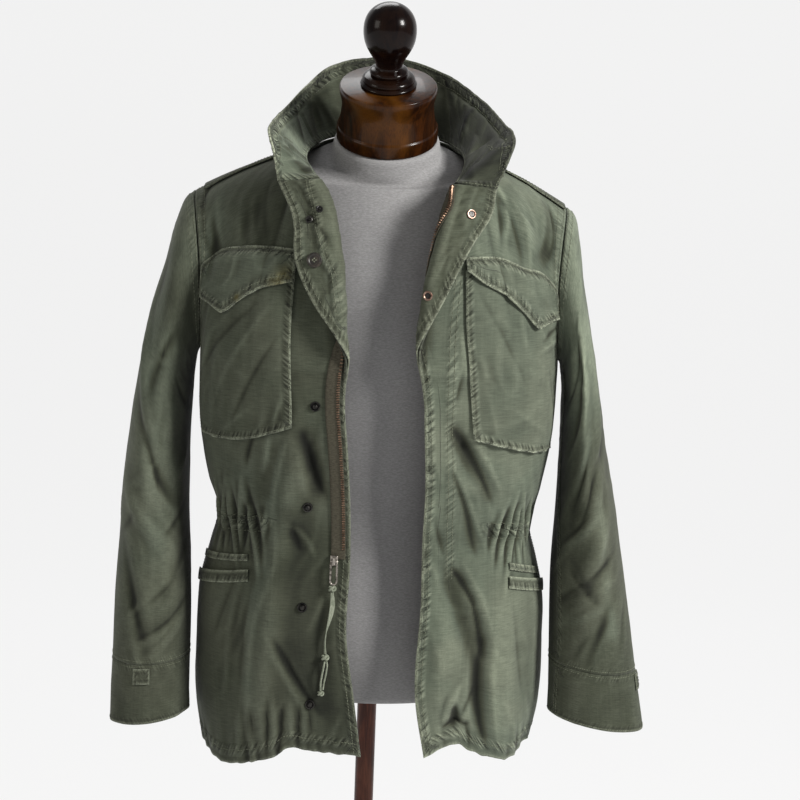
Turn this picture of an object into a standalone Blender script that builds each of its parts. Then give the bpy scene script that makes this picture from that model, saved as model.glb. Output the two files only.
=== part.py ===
"""A field jacket worn open on a limbless dress form with a turned wooden cap and stand.

Metres, +Z up. The jacket faces -Y and +X is the wearer's left. The origin is the middle
of the base's underside. Each piece that a maker would cut, turn or fasten is one object.
Cloth is a wall through rows of points: a row runs across a panel and the rows run up it.
"""
import math
from collections import namedtuple

import bmesh
import bpy
import numpy as np
from mathutils import Vector
from mathutils.bvhtree import BVHTree

RIGHT, LEFT = -1, 1                 # the wearer's sides, and the sign of X on each
SIDE_NAME = {RIGHT: "right", LEFT: "left"}

# ---------------------------------------------------------------- driving dimensions
CLOTH = 0.0020                      # wall of the shell cloth, with its facing or lining
STRIP = 0.0014                      # wall of pockets, flaps and other single pieces
COLLAR_WALL = 0.0024
GAP = 0.0003                        # space left between neighbouring pieces
SEAM = GAP / 2 + 0.00005            # what each of two sewn edges gives up
ARMPIT = 1.200                      # height of the underarm point
YOKE = 0.210                        # from the underarm to the top of the roll line
TOP = ARMPIT + YOKE
HEM = 0.742                         # hem at the front edges
ROLL = 0.0062                       # radius of the roll where a front turns outward
SQUARENESS = 2.70                   # exponent of the body's sections
WAIST = 1.004                       # height of the waist drawcord
WAIST_REACH = 0.017                 # how far its gathers reach up and down
HEM_BAND = 0.018                    # height of the gathered drawcord hem
FRONT_GATHERS = 22                  # gathers across one front
BACK_GATHERS = 12                   # gathers across one half of the back
GATHER_RISE = 0.0022                # half of a gather's depth
WAIST_FROM = 3.5                    # the front's column from which the waist is gathered
HEM_REACH = 2.5                     # heights of the hem's band in which its gathers fade out
FALL_REACH = 0.13                   # how far above the hem its fall fades out
ARM_STEPS = 9                       # rows from the underarm to the shoulder tip
NECK_STEP = 4                       # the chest column that ends at the neck point
FRONT_COLUMNS = 9                   # columns of one front outside its lapel
BACK_COLUMNS = 8                    # columns of one half of the back

# Distances over which folds and gathers fade out towards a side seam, a front's edge, the
# top row, and the gathers towards a side seam and a front's edge.
SEAM_FADE = 0.025
EDGE_FADE = 0.030
TOP_FADE = 0.040
GATHER_FADE = 0.006
HEM_START = (0.020, 0.060)


class Profile:
    """A short table read as smooth curves. The first column is the key, in rising order."""

    def __init__(self, columns, rows):
        table = np.array(rows, dtype=float)
        if table.shape[1] != len(columns.split()):
            raise ValueError("a row doesn't have a value for each of: " + columns)
        self.keys = table[:, 0]
        self.values = table[:, 1:]
        self.slopes = np.gradient(self.values, self.keys, axis=0)

    def __call__(self, key):
        key = min(max(key, self.keys[0]), self.keys[-1])
        low = min(int(np.searchsorted(self.keys, key, side="right")) - 1, len(self.keys) - 2)
        step = self.keys[low + 1] - self.keys[low]
        t = (key - self.keys[low]) / step
        ease = t * t * (3 - 2 * t)
        value = self.values[low] * (1 - ease) + self.values[low + 1] * ease
        value = value + self.slopes[low] * step * (t * (1 - t) ** 2)
        return value - self.slopes[low + 1] * step * (t * t * (1 - t))


# The body below the underarm: half of its width, and how far it stands before and behind.
BODY = Profile("height half_width front back", [
    (0.700, 0.200, 0.150, 0.136),
    (0.742, 0.205, 0.154, 0.140),
    (0.790, 0.213, 0.158, 0.145),
    (0.860, 0.213, 0.158, 0.145),
    (0.920, 0.209, 0.156, 0.142),
    (0.960, 0.199, 0.150, 0.134),
    (1.004, 0.189, 0.146, 0.126),
    (1.050, 0.202, 0.150, 0.132),
    (1.110, 0.212, 0.155, 0.139),
    (1.200, 0.214, 0.156, 0.142),
])

# Each front's edge up to the break, then its roll line: distance from the middle plane,
# how far the line lies before it, and the width of cloth that turns out beyond it.
FRONT_EDGE = {
    RIGHT: Profile("height out front turned", [
        (0.742, 0.003, 0.154, 0.000),
        (0.813, 0.013, 0.157, 0.000),
        (0.886, 0.024, 0.157, 0.000),
        (0.982, 0.023, 0.148, 0.000),
        (1.076, 0.027, 0.152, 0.000),
        (1.150, 0.034, 0.156, 0.000),
        (1.200, 0.040, 0.156, 0.007),
        (1.240, 0.044, 0.154, 0.022),
        (1.276, 0.046, 0.151, 0.045),
        (1.320, 0.049, 0.146, 0.062),
        (1.374, 0.059, 0.131, 0.055),
        (1.410, 0.074, 0.114, 0.054),
    ]),
    LEFT: Profile("height out front turned", [
        (0.742, 0.071, 0.150, 0.000),
        (0.816, 0.058, 0.156, 0.000),
        (0.937, 0.060, 0.153, 0.000),
        (1.004, 0.059, 0.143, 0.000),
        (1.056, 0.060, 0.149, 0.000),
        (1.160, 0.055, 0.155, 0.000),
        (1.200, 0.054, 0.155, 0.005),
        (1.240, 0.053, 0.153, 0.016),
        (1.287, 0.056, 0.149, 0.034),
        (1.349, 0.066, 0.139, 0.050),
        (1.384, 0.073, 0.127, 0.060),
        (1.410, 0.080, 0.114, 0.054),
    ]),
}

# The angle, in degrees behind straight outward, at which a turned front lies.
LAPEL_ANGLE = Profile("height back", [
    (1.200, -14.0),
    (1.280, 4.0),
    (1.340, 10.0),
    (1.410, 16.0),
])
LAPEL_SLOPE = 0.10                  # how steeply a turned front falls outward at the top
LAPEL_LEVEL = 1.300                 # height below which it doesn't

# The hem's fall below its height at the front edges, by the share of the way to the side.
HEM_FALL = {
    RIGHT: Profile("share fall", [
        (0.00, 0.000), (0.12, -0.003), (0.21, -0.006), (0.30, -0.004), (0.36, 0.010),
        (0.49, 0.023), (0.57, 0.031), (0.66, 0.029), (0.80, 0.021), (1.00, 0.012)]),
    LEFT: Profile("share fall", [
        (0.00, 0.000), (0.09, -0.012), (0.17, -0.017), (0.23, -0.008), (0.34, 0.003),
        (0.46, 0.013), (0.54, 0.012), (0.62, 0.004), (0.76, 0.006), (1.00, 0.010)]),
}
BACK_FALL = Profile("share fall", [(0.0, 0.022), (0.5, 0.018), (1.0, 0.011)])

# The neckline and shoulder seam in the wearer's left half: out, front (-Y) and height.
NECK_POINT = (0.083, 0.004, 1.443)
NECK_BEND = (0.092, 0.060, 1.430)
NECK_BACK = (0.0, -0.082, 1.458)
NECK_BACK_BEND = (0.058, -0.062, 1.452)
SHOULDER_TIP = {RIGHT: (0.224, 0.0, 1.386), LEFT: (0.215, 0.0, 1.382)}
SHOULDER_CROWN = 0.004              # how far the shoulder seam bows up between its ends

# A sleeve's rings, from the armhole down: the outer and the inner point of each ring as
# distance out and height, then the ring's forward shift and half of its depth.
RINGS = {
    RIGHT: Profile("along outer_out outer_up inner_out inner_up forward depth", [
        (0.000, 0.224, 1.386, 0.2140, 1.200, 0.000, 0.080),
        (0.012, 0.235, 1.378, 0.2165, 1.197, 0.001, 0.083),
        (0.032, 0.245, 1.354, 0.2200, 1.190, 0.002, 0.087),
        (0.070, 0.256, 1.308, 0.2225, 1.178, 0.004, 0.089),
        (0.115, 0.269, 1.262, 0.2245, 1.162, 0.006, 0.088),
        (0.165, 0.279, 1.216, 0.2255, 1.140, 0.008, 0.086),
        (0.215, 0.287, 1.170, 0.2265, 1.108, 0.010, 0.084),
        (0.275, 0.296, 1.110, 0.2270, 1.066, 0.015, 0.080),
        (0.345, 0.303, 1.040, 0.2260, 1.012, 0.024, 0.075),
        (0.425, 0.307, 0.960, 0.2210, 0.946, 0.037, 0.068),
        (0.500, 0.309, 0.885, 0.2175, 0.884, 0.052, 0.060),
        (0.556, 0.309, 0.829, 0.2165, 0.834, 0.064, 0.053),
        (0.630, 0.310, 0.755, 0.2150, 0.768, 0.080, 0.046),
    ]),
    LEFT: Profile("along outer_out outer_up inner_out inner_up forward depth", [
        (0.000, 0.215, 1.382, 0.2140, 1.200, 0.000, 0.080),
        (0.012, 0.225, 1.375, 0.2165, 1.197, 0.001, 0.084),
        (0.032, 0.232, 1.352, 0.2195, 1.190, 0.002, 0.088),
        (0.070, 0.238, 1.308, 0.2215, 1.178, 0.004, 0.092),
        (0.115, 0.247, 1.262, 0.2235, 1.162, 0.006, 0.094),
        (0.165, 0.256, 1.216, 0.2240, 1.140, 0.008, 0.094),
        (0.215, 0.264, 1.170, 0.2240, 1.108, 0.010, 0.091),
        (0.275, 0.275, 1.110, 0.2230, 1.066, 0.015, 0.086),
        (0.345, 0.289, 1.040, 0.2210, 1.014, 0.024, 0.079),
        (0.425, 0.303, 0.960, 0.2175, 0.952, 0.037, 0.070),
        (0.500, 0.316, 0.889, 0.2180, 0.894, 0.050, 0.062),
        (0.556, 0.324, 0.836, 0.2190, 0.846, 0.062, 0.054),
        (0.630, 0.335, 0.766, 0.2200, 0.784, 0.078, 0.046),
    ]),
}
SLEEVE_END = 0.556                  # where the cuff is sewn on
CUFF_END = 0.630
SCOOP = {1: 0.010, -1: 0.008}       # how far the armhole cuts in, before and behind
SCOOP_REACH = 0.035                 # how far down the sleeve that fades
SLEEVE_START = 0.0012               # first ring, just outside the armhole seam
SLEEVE_RADIUS = 0.068               # mean radius, to measure the folds round a sleeve
CAP_FADE = (0.020, 0.060)           # where the folds begin below the armhole
CUFF_FADE = 0.030                   # and where they end above the cuff's edge
SLEEVE_RINGS = 13
CUFF_RINGS = 3

# The collar's free edge, by the share of the collar's length from its right front end.
COLLAR_EDGE = Profile("share x y height", [
    (0.000, -0.126, -0.106, 1.440),
    (0.050, -0.134, -0.082, 1.457),
    (0.150, -0.133, -0.040, 1.471),
    (0.260, -0.118, 0.004, 1.490),
    (0.350, -0.099, 0.044, 1.513),
    (0.420, -0.073, 0.078, 1.536),
    (0.500, -0.020, 0.104, 1.548),
    (0.580, 0.028, 0.102, 1.545),
    (0.660, 0.074, 0.074, 1.528),
    (0.750, 0.110, 0.034, 1.503),
    (0.850, 0.136, -0.014, 1.477),
    (0.950, 0.148, -0.066, 1.457),
    (1.000, 0.140, -0.094, 1.437),
])
COLLAR_LIFT = 0.0006                # the collar's lower edge above the neckline

CLIMB_CURVE = 0.7                   # the part of a yoke row's climb that follows a sine
BACK_BOW = 2.4                      # power of the back's bow in towards the neck

# Large folds of the fronts and back, seen from straight ahead: a line from (x0, up0) to
# (x1, up1), how far it spreads either way and how far it rises (or sinks, if negative).
Fold = namedtuple("Fold", "x0 up0 x1 up1 spread rise")
FRONT_FOLDS = (
    Fold(-0.089, 1.120, -0.104, 0.990, 0.016, 0.008),
    Fold(-0.104, 0.990, -0.124, 0.800, 0.017, 0.009),
    Fold(-0.080, 1.128, -0.062, 1.060, 0.012, -0.006),
    Fold(-0.160, 0.960, -0.170, 0.790, 0.020, -0.006),
    Fold(-0.060, 0.960, -0.048, 0.800, 0.016, -0.004),
    Fold(-0.196, 1.360, -0.194, 1.300, 0.012, -0.007),
    Fold(-0.140, 1.390, -0.160, 1.340, 0.012, -0.004),
    Fold(0.092, 1.140, 0.112, 1.085, 0.013, -0.007),
    Fold(0.092, 0.965, 0.124, 0.870, 0.015, -0.008),
    Fold(0.124, 0.870, 0.134, 0.770, 0.015, -0.008),
    Fold(0.150, 0.930, 0.166, 0.790, 0.018, 0.006),
    Fold(0.086, 0.900, 0.086, 0.800, 0.016, 0.005),
    Fold(0.104, 0.795, 0.106, 0.760, 0.008, -0.007),
    Fold(0.130, 1.392, 0.152, 1.335, 0.010, -0.005),
    Fold(0.150, 1.392, 0.170, 1.345, 0.010, 0.005),
    Fold(0.188, 1.365, 0.192, 1.310, 0.011, -0.006),
)
BACK_FOLDS = (
    Fold(-0.130, 1.330, -0.090, 1.120, 0.020, -0.006),
    Fold(0.136, 1.330, 0.098, 1.130, 0.020, -0.006),
    Fold(-0.050, 0.960, -0.070, 0.780, 0.022, 0.007),
    Fold(0.064, 0.960, 0.058, 0.780, 0.022, 0.007),
    Fold(-0.150, 0.950, -0.160, 0.790, 0.018, -0.005),
    Fold(0.150, 0.950, 0.148, 0.790, 0.018, -0.005),
    Fold(0.004, 1.160, 0.010, 1.040, 0.024, 0.006),
    Fold(-0.176, 1.300, -0.150, 1.180, 0.014, 0.005),
    Fold(0.176, 1.300, 0.150, 1.180, 0.014, 0.005),
)

# Folds of a sleeve, on its length and on the angle round it in degrees from the underarm
# by way of the front.
SleeveFold = namedtuple("SleeveFold", "along0 angle0 along1 angle1 spread rise")
SLEEVE_FOLDS = {
    RIGHT: (
        SleeveFold(0.060, 70, 0.200, 110, 0.016, -0.006),
        SleeveFold(0.110, 150, 0.250, 110, 0.014, 0.005),
        SleeveFold(0.250, 120, 0.330, 50, 0.016, -0.006),
        SleeveFold(0.340, 140, 0.400, 60, 0.015, 0.005),
        SleeveFold(0.430, 130, 0.540, 90, 0.014, -0.005),
        SleeveFold(0.200, 250, 0.420, 280, 0.018, -0.006),
        SleeveFold(0.060, 290, 0.180, 250, 0.016, -0.005),
    ),
    LEFT: (
        SleeveFold(0.120, 130, 0.280, 120, 0.014, 0.002),
        SleeveFold(0.360, 120, 0.440, 70, 0.015, 0.002),
    ),
}


# ---------------------------------------------------------------- scene and materials
for old in list(bpy.data.objects):
    bpy.data.objects.remove(old, do_unlink=True)


def material(name, color, roughness, metallic=0.0):
    made = bpy.data.materials.new(name)
    made.use_nodes = True
    shader = made.node_tree.nodes["Principled BSDF"]
    shader.inputs["Base Color"].default_value = (*color, 1.0)
    shader.inputs["Roughness"].default_value = roughness
    shader.inputs["Metallic"].default_value = metallic
    made.diffuse_color = (*color, 1.0)
    return made


SATEEN = material("olive_sateen", (0.115, 0.125, 0.085), 0.85)
TAPE = material("olive_tape", (0.085, 0.090, 0.055), 0.9)
BLACK_METAL = material("blackened_brass", (0.030, 0.028, 0.026), 0.4, 0.9)
COPPER = material("worn_copper", (0.380, 0.190, 0.110), 0.4, 0.9)
HORN = material("dark_button", (0.030, 0.024, 0.018), 0.5)
LINEN = material("linen", (0.480, 0.450, 0.390), 0.9)
MAHOGANY = material("mahogany", (0.140, 0.030, 0.014), 0.25)
EBONY = material("dark_wood", (0.018, 0.010, 0.008), 0.3)


# ---------------------------------------------------------------- mesh helpers
LOOK_RING = 12                      # rays on the ring that looks for the cloth under a spot


def add_object(name, mesh, finish):
    mesh.materials.append(finish)
    made = bpy.data.objects.new(name, mesh)
    bpy.context.collection.objects.link(made)
    return made


def smooth(mesh, degrees=40):
    mesh.shade_smooth()
    mesh.set_sharp_from_angle(angle=math.radians(degrees))


SHORTER = 0.8                       # a cell is split the other way where that cut is this short


def stitch_rows(mesh, low, high, closed):
    """Faces between two rows of (share, vertex), which may differ in length."""
    if closed:
        low = low + [(1.0, low[0][1])]
        high = high + [(1.0, high[0][1])]
    i = j = 0
    while i < len(low) - 1 or j < len(high) - 1:
        step_low = low[i + 1][0] if i < len(low) - 1 else math.inf
        step_high = high[j + 1][0] if j < len(high) - 1 else math.inf
        if abs(step_low - step_high) < 1e-6:
            corners = low[i][1], low[i + 1][1], high[j + 1][1], high[j][1]
            rising = (corners[0].co - corners[2].co).length
            if (corners[1].co - corners[3].co).length < SHORTER * rising:
                corners = corners[1:] + corners[:1]
            mesh.faces.new(corners[:3])
            mesh.faces.new((corners[0], corners[2], corners[3]))
            i, j = i + 1, j + 1
        elif step_low < step_high:
            mesh.faces.new((low[i][1], low[i + 1][1], high[j][1]))
            i += 1
        else:
            mesh.faces.new((low[i][1], high[j + 1][1], high[j][1]))
            j += 1


def cloth(name, rows, wall, finish, flip=False, closed=False, shares=None, square=None):
    """A cloth wall from rows of points on its outer face. Returns the rows' normals.

    square(row, column, columns) tells where the wall is cut square to Y, at a seam between
    a front and the back.
    """
    mesh = bmesh.new()
    laid = []
    for number, row in enumerate(rows):
        share = shares[number] if shares else np.linspace(0, 1, len(row) + closed)[:len(row)]
        laid.append([(share[k], mesh.verts.new(point)) for k, point in enumerate(row)])
    for low, high in zip(laid, laid[1:]):
        stitch_rows(mesh, low, high, closed)
    if flip:
        bmesh.ops.reverse_faces(mesh, faces=mesh.faces)
    mesh.normal_update()
    normals = [[np.array(vertex.normal) for _, vertex in row] for row in laid]
    outer = list(mesh.faces)
    rim = [edge.link_loops[0] for edge in mesh.edges if edge.is_boundary]
    rim = [(loop.vert, loop.link_loop_next.vert) for loop in rim]
    inner = {}
    for number, row in enumerate(laid):
        for column, (_, vertex) in enumerate(row):
            inward = Vector(normals[number][column])
            if square and square(number, column, len(row)):
                inward.y = 0.0
                inward.normalize()
            inner[vertex] = mesh.verts.new(vertex.co - inward * wall)
    for face in outer:
        mesh.faces.new([inner[vertex] for vertex in reversed(face.verts)])
    for first, last in rim:
        mesh.faces.new((last, first, inner[first], inner[last]))
    data = bpy.data.meshes.new(name)
    mesh.to_mesh(data)
    mesh.free()
    smooth(data, 60)
    add_object(name, data, finish)
    return normals


def surface_of(*names):
    """The faces of pieces already made, to lay or stand other pieces on."""
    trees = []
    for name in names:
        mesh = bpy.data.objects[name].data
        points = [vertex.co.copy() for vertex in mesh.vertices]
        trees.append(BVHTree.FromPolygons(points, [list(p.vertices) for p in mesh.polygons]))
    return trees


def hits_near(surface, spot, axis, reach, look):
    """Where rays against an axis meet a surface, at a spot and on a ring about it."""
    side = axis.orthogonal().normalized()
    other = axis.cross(side)
    found = []
    for k in range(LOOK_RING + 1):
        angle = 2 * math.pi * k / LOOK_RING
        away = (side * math.cos(angle) + other * math.sin(angle)) * reach
        start = spot + axis * look + (away if k < LOOK_RING else away * 0.0)
        for tree in surface:
            hit, normal, _, _ = tree.ray_cast(start, -axis, 2 * look)
            if hit is not None:
                found.append((hit, normal))
    return found


def lifted(surface, point, normal, space, reach=0.008, look=0.004):
    """The point, moved along its normal where it has less than a space over a surface."""
    spot, axis = Vector(point), Vector(normal).normalized()
    found = hits_near(surface, spot, axis, reach, look)
    need = max([(hit - spot).dot(axis) for hit, _ in found], default=-space) + space
    return spot + axis * max(need, 0.0)


def turned(name, profile, finish, sides, origin=(0, 0, 0), axis=(0, 0, 1), degrees=35):
    """A solid of revolution through (radius, height) pairs, closed at both ends."""
    mesh = bmesh.new()
    turn = Vector((0, 0, 1)).rotation_difference(Vector(axis)).to_matrix()
    rings = []
    for radius, height in profile:
        angles = [2 * math.pi * k / sides for k in range(sides)]
        ring = [Vector((radius * math.cos(a), radius * math.sin(a), height)) for a in angles]
        rings.append([mesh.verts.new(turn @ point + Vector(origin)) for point in ring])
    for low, high in zip(rings, rings[1:]):
        for k in range(sides):
            nxt = (k + 1) % sides
            mesh.faces.new((low[k], low[nxt], high[nxt], high[k]))
    mesh.faces.new(reversed(rings[0]))
    mesh.faces.new(rings[-1])
    data = bpy.data.meshes.new(name)
    mesh.to_mesh(data)
    mesh.free()
    smooth(data, degrees)
    return add_object(name, data, finish)


# ---------------------------------------------------------------- the jacket's surfaces
def unit(vector):
    return vector / np.linalg.norm(vector)


def place(side, out, front, height):
    """World point from a distance out to one side, a distance to the front and a height."""
    return np.array((side * out, -front, height))


def bend_through(start, middle, end, t):
    """A smooth curve from start to end that passes its middle point at t = 0.5."""
    control = 2 * np.array(middle) - 0.5 * (np.array(start) + np.array(end))
    return (1 - t) ** 2 * np.array(start) + 2 * t * (1 - t) * control + t * t * np.array(end)


def walk(row, distance):
    """The point at a distance along a row of points."""
    steps = np.linalg.norm(np.diff(row, axis=0), axis=1)
    travelled = np.concatenate(((0.0,), np.cumsum(steps)))
    return np.array([np.interp(distance, travelled, row[:, axis]) for axis in range(3)])


def length_of(row):
    return float(np.linalg.norm(np.diff(row, axis=0), axis=1).sum())


def even(row, count=49):
    """The same row with its points evenly spaced."""
    whole = length_of(row)
    return np.array([walk(row, whole * k / (count - 1)) for k in range(count)])


def yoke_share(level):
    """How far up the armhole a level above the underarm lies, as a share of half a turn."""
    return min(max((level - ARMPIT) / YOKE, 0.0), 1.0)


def climb(share):
    """How far up the roll line or centre back a yoke row starts, as a share of the yoke."""
    return CLIMB_CURVE * math.sin(math.pi * share / 2) + (1 - CLIMB_CURVE) * share


def line_height(level):
    """Height of a row where it meets the roll line."""
    return level if level <= ARMPIT else ARMPIT + YOKE * climb(yoke_share(level))


def level_at(height):
    """The level whose row meets the roll line at a height."""
    levels = np.linspace(ARMPIT, TOP, 65)
    heights = [line_height(level) for level in levels]
    return height if height <= ARMPIT else float(np.interp(height, heights, levels))


def section(side, start_out, height, back):
    """A quarter of the body's section, from a distance out of the middle to the side seam."""
    half_width, front, behind = BODY(height)
    depth = -behind if back else front
    power = 2 / SQUARENESS
    first = math.asin(min(max(start_out, 0.0) / half_width, 1.0) ** (1 / power))
    angles = np.linspace(first, math.pi / 2, 49)
    points = [place(side, half_width * math.sin(a) ** power,
                    depth * max(math.cos(a), 0.0) ** power, height) for a in angles]
    return even(np.array(points))


def sleeve_ring(side, angle, along):
    """A point of a sleeve's outer face, without its folds."""
    outer_out, outer_up, inner_out, inner_up, forward, depth = RINGS[side](along)
    lean = -math.cos(angle)
    out = (outer_out + inner_out) / 2 + lean * (outer_out - inner_out) / 2
    height = (outer_up + inner_up) / 2 + lean * (outer_up - inner_up) / 2
    wave = math.sin(angle)
    scoop = SCOOP[1 if wave > 0 else -1] * wave * wave * math.exp(-along / SCOOP_REACH)
    return place(side, out - scoop, forward + depth * wave, height)


def armhole(side, level, back):
    """The armhole seam: the sleeve's first ring, walked up its front or its back half."""
    turn = math.pi * yoke_share(level)
    return sleeve_ring(side, -turn if back else turn, 0.0)


def top_row(side, back):
    """The neckline and shoulder seam, from the roll line or centre back to the shoulder tip."""
    neck = place(side, *NECK_POINT)
    tip = place(side, *SHOULDER_TIP[side])
    if back:
        start, bend, knee = place(side, *NECK_BACK), place(side, *NECK_BACK_BEND), 0.5
    else:
        out, front, _ = FRONT_EDGE[side](TOP)
        start, bend = place(side, out, front, TOP), place(side, *NECK_BEND)
        knee = NECK_STEP / FRONT_COLUMNS
    points = []
    for share in np.linspace(0, 1, 73):
        if share <= knee:
            points.append(bend_through(start, bend, neck, share / knee))
        else:
            t = (share - knee) / (1 - knee)
            crown = np.array((0, 0, 4 * SHOULDER_CROWN * t * (1 - t)))
            points.append(neck * (1 - t) + tip * t + crown)
    return np.array(points)


def centre_line(side, level, back):
    """Where a row starts: the front edge, the roll line or the centre back."""
    height = line_height(level)
    if not back:
        out, front, _ = FRONT_EDGE[side](height)
        return place(side, out, front, height)
    if level <= ARMPIT:
        return place(side, 0.0, -BODY(height)[2], height)
    rise = climb(yoke_share(level))
    deep, neck = BODY(ARMPIT)[2], -NECK_BACK[1]
    behind = deep + (neck - deep) * rise ** BACK_BOW
    return place(side, 0.0, -behind, ARMPIT + (NECK_BACK[2] - ARMPIT) * rise)


ROW_STORE = {}


def bare_row(side, level, back):
    """One row of a half panel as dense even points, from its start to the side or armhole."""
    key = (side, round(level, 6), back)
    if key in ROW_STORE:
        return ROW_STORE[key]
    if level <= ARMPIT:
        start_out = 0.0 if back else FRONT_EDGE[side](level)[0]
        row = section(side, start_out, level, back)
    else:
        row = yoke_row(side, level, back)
    ROW_STORE[key] = row
    return row


def yoke_row(side, level, back):
    """A row above the underarm, filled in between the four edges of the yoke."""
    count = 73
    low = even(bare_row(side, ARMPIT, back), count)
    high = top_row(side, back)
    turn = math.pi * yoke_share(level) / 2
    mix = np.array((yoke_share(level), 1 - math.cos(turn), math.sin(turn)))
    across = np.linspace(0, 1, count)[:, None]
    start = centre_line(side, level, back) - (1 - mix) * low[0] - mix * high[0]
    end = armhole(side, level, back) - (1 - mix) * low[-1] - mix * high[-1]
    return (1 - mix) * low + mix * high + (1 - across) ** 2 * start + across ** 2 * end


def relief(point, folds):
    """How far the folds lift the cloth at a point, from its place seen from straight ahead."""
    total = 0.0
    for fold in folds:
        start = np.array((fold.x0, fold.up0))
        line = np.array((fold.x1, fold.up1)) - start
        here = np.array((point[0], point[2])) - start
        share = float(here @ line) / float(line @ line)
        away = np.linalg.norm(here - line * min(max(share, 0.0), 1.0))
        total += fold.rise * math.exp(-(away / fold.spread) ** 2)
    return total


def ramp(value, low, high):
    t = min(max((value - low) / (high - low), 0.0), 1.0)
    return t * t * (3 - 2 * t)


def gathers(level, share, across, back):
    """How far the drawcord gathers lift the cloth at a level and a share of its row."""
    wave = math.cos(2 * math.pi * (BACK_GATHERS if back else FRONT_GATHERS) * share)
    at_hem = 1 - ramp(level, HEM + HEM_BAND, HEM + HEM_REACH * HEM_BAND)
    at_waist = math.exp(-((level - WAIST) / WAIST_REACH) ** 2)
    if not back:
        at_hem *= ramp(across, *HEM_START)
        at_waist *= ramp(share * FRONT_COLUMNS, WAIST_FROM - 0.5, WAIST_FROM + 0.5)
    return GATHER_RISE * wave * (at_hem + at_waist)


def body_point(side, across, level, back=False):
    """Point and outward normal of the body's outer face, with its folds and gathers.

    across is the distance from the row's start: the front edge, the roll line or the
    centre back.
    """
    row = bare_row(side, level, back)
    whole = length_of(row)
    nudge = 0.002
    up = bare_row(side, min(level + nudge, TOP), back)
    down = bare_row(side, max(level - nudge, BODY.keys[0]), back)
    share = min(max(across / whole, 0.0), 1.0)
    along = walk(row, min(across + nudge, whole)) - walk(row, max(across - nudge, 0.0))
    climbed = walk(up, share * length_of(up)) - walk(down, share * length_of(down))
    normal = unit(np.cross(along, climbed)) * (-side if back else side)
    point = walk(row, across)
    rise = relief(point, BACK_FOLDS if back else FRONT_FOLDS)
    rise *= ramp(whole - across, 0.0, SEAM_FADE) * (1 - ramp(level, TOP - TOP_FADE, TOP))
    if not back:
        rise *= ramp(across, 0.0, EDGE_FADE)
    if level <= ARMPIT:
        rise += gathers(level, share, across, back) * ramp(whole - across, 0.0, GATHER_FADE)
    fall = (BACK_FALL if back else HEM_FALL[side])(share)[0]
    drop = np.array((0, 0, fall * (1 - ramp(level, HEM, HEM + FALL_REACH))))
    return point + normal * rise - drop, normal


def turned_width(side, level):
    """Width of cloth that turns out beyond the roll line at a level."""
    return max(FRONT_EDGE[side](line_height(level))[2], 0.0)


def front_point(side, across, level, lift=0.0):
    """Point on a front, moved out of its outer face by lift.

    across is the distance outward from the edge or roll line. It is negative on the
    cloth that turns out beyond the roll line, where the outer face looks at the chest.
    """
    if across >= 0:
        point, normal = body_point(side, across, level)
        return point + normal * lift
    row = bare_row(side, level, False)
    heading = row[0] - row[2]
    first = math.atan2(heading[1], heading[0] * side)
    first = first - 2 * math.pi if first > 0 else first
    height = line_height(level)
    last = math.radians(LAPEL_ANGLE(height)[0])
    bend = min(-across / ROLL, last - first)
    angle = first + bend
    out = ROLL * (math.sin(angle) - math.sin(first))
    back = ROLL * (math.cos(first) - math.cos(angle))
    straight = max(-across - ROLL * (last - first), 0.0)
    out += straight * math.cos(angle) - math.sin(angle) * lift
    back += straight * math.sin(angle) + math.cos(angle) * lift
    drop = LAPEL_SLOPE * straight * ramp(height, LAPEL_LEVEL, TOP)
    return row[0] + np.array((side * out, back, -drop))


# ---------------------------------------------------------------- fronts and back
LAPEL_SHARE = 0.25                  # the part of a row's shares given to the turned cloth
LAPEL_STEP = 0.0078                 # a column's width on the turned cloth
LAPEL_LEAST = 0.003                 # a narrower turn is left out
LEVELS = (
    (HEM, "gathered"), (HEM + HEM_BAND, "gathered"), (HEM + 2 * HEM_BAND, "gathered"),
    (0.810, "plain"), (0.846, "plain"), (0.882, "plain"), (0.918, "plain"),
    (0.954, "plain"), (0.986, "waist"), (WAIST, "waist"), (1.022, "waist"),
    (1.054, "plain"), (1.090, "plain"), (1.126, "plain"), (1.162, "plain"),
    (ARMPIT, "plain"),
) + tuple((ARMPIT + YOKE * k / ARM_STEPS, "plain") for k in range(1, ARM_STEPS)) + (
    (TOP - 0.0004, "plain"),)


def column_shares(columns, gather_count, plan, waist_from):
    """Shares of a half panel's row at which its columns stand."""
    coarse = [k / columns for k in range(columns + 1)]
    dense = [k / (2 * gather_count) for k in range(2 * gather_count + 1)]
    if plan == "gathered":
        return dense
    if plan == "waist":
        return [s for s in coarse if s < waist_from] + [s for s in dense if s >= waist_from]
    return coarse


def front_rows(side):
    rows, shares = [], []
    for level, plan in LEVELS:
        whole = length_of(bare_row(side, level, False)) - SEAM
        wide = turned_width(side, level)
        count = max(round(wide / LAPEL_STEP), 3) if wide > LAPEL_LEAST else 0
        row = [front_point(side, -wide * (1 - k / count), level) for k in range(count)]
        share = [LAPEL_SHARE * k / count for k in range(count)]
        waist_from = WAIST_FROM / FRONT_COLUMNS
        for part in column_shares(FRONT_COLUMNS, FRONT_GATHERS, plan, waist_from):
            row.append(front_point(side, whole * part, level))
            share.append(LAPEL_SHARE + (1 - LAPEL_SHARE) * part)
        rows.append(row)
        shares.append(share)
    return rows, shares


def back_rows():
    rows, shares = [], []
    for level, plan in LEVELS:
        half = column_shares(BACK_COLUMNS, BACK_GATHERS, plan, 0.0)
        row, share = [], []
        for side in (RIGHT, LEFT):
            whole = length_of(bare_row(side, level, True)) - SEAM
            parts = half[::-1] if side == RIGHT else half[1:]
            row += [body_point(side, whole * part, level, back=True)[0] for part in parts]
            share += [0.5 + 0.5 * side * part for part in parts]
        rows.append(row)
        shares.append(share)
    return rows, shares


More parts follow.
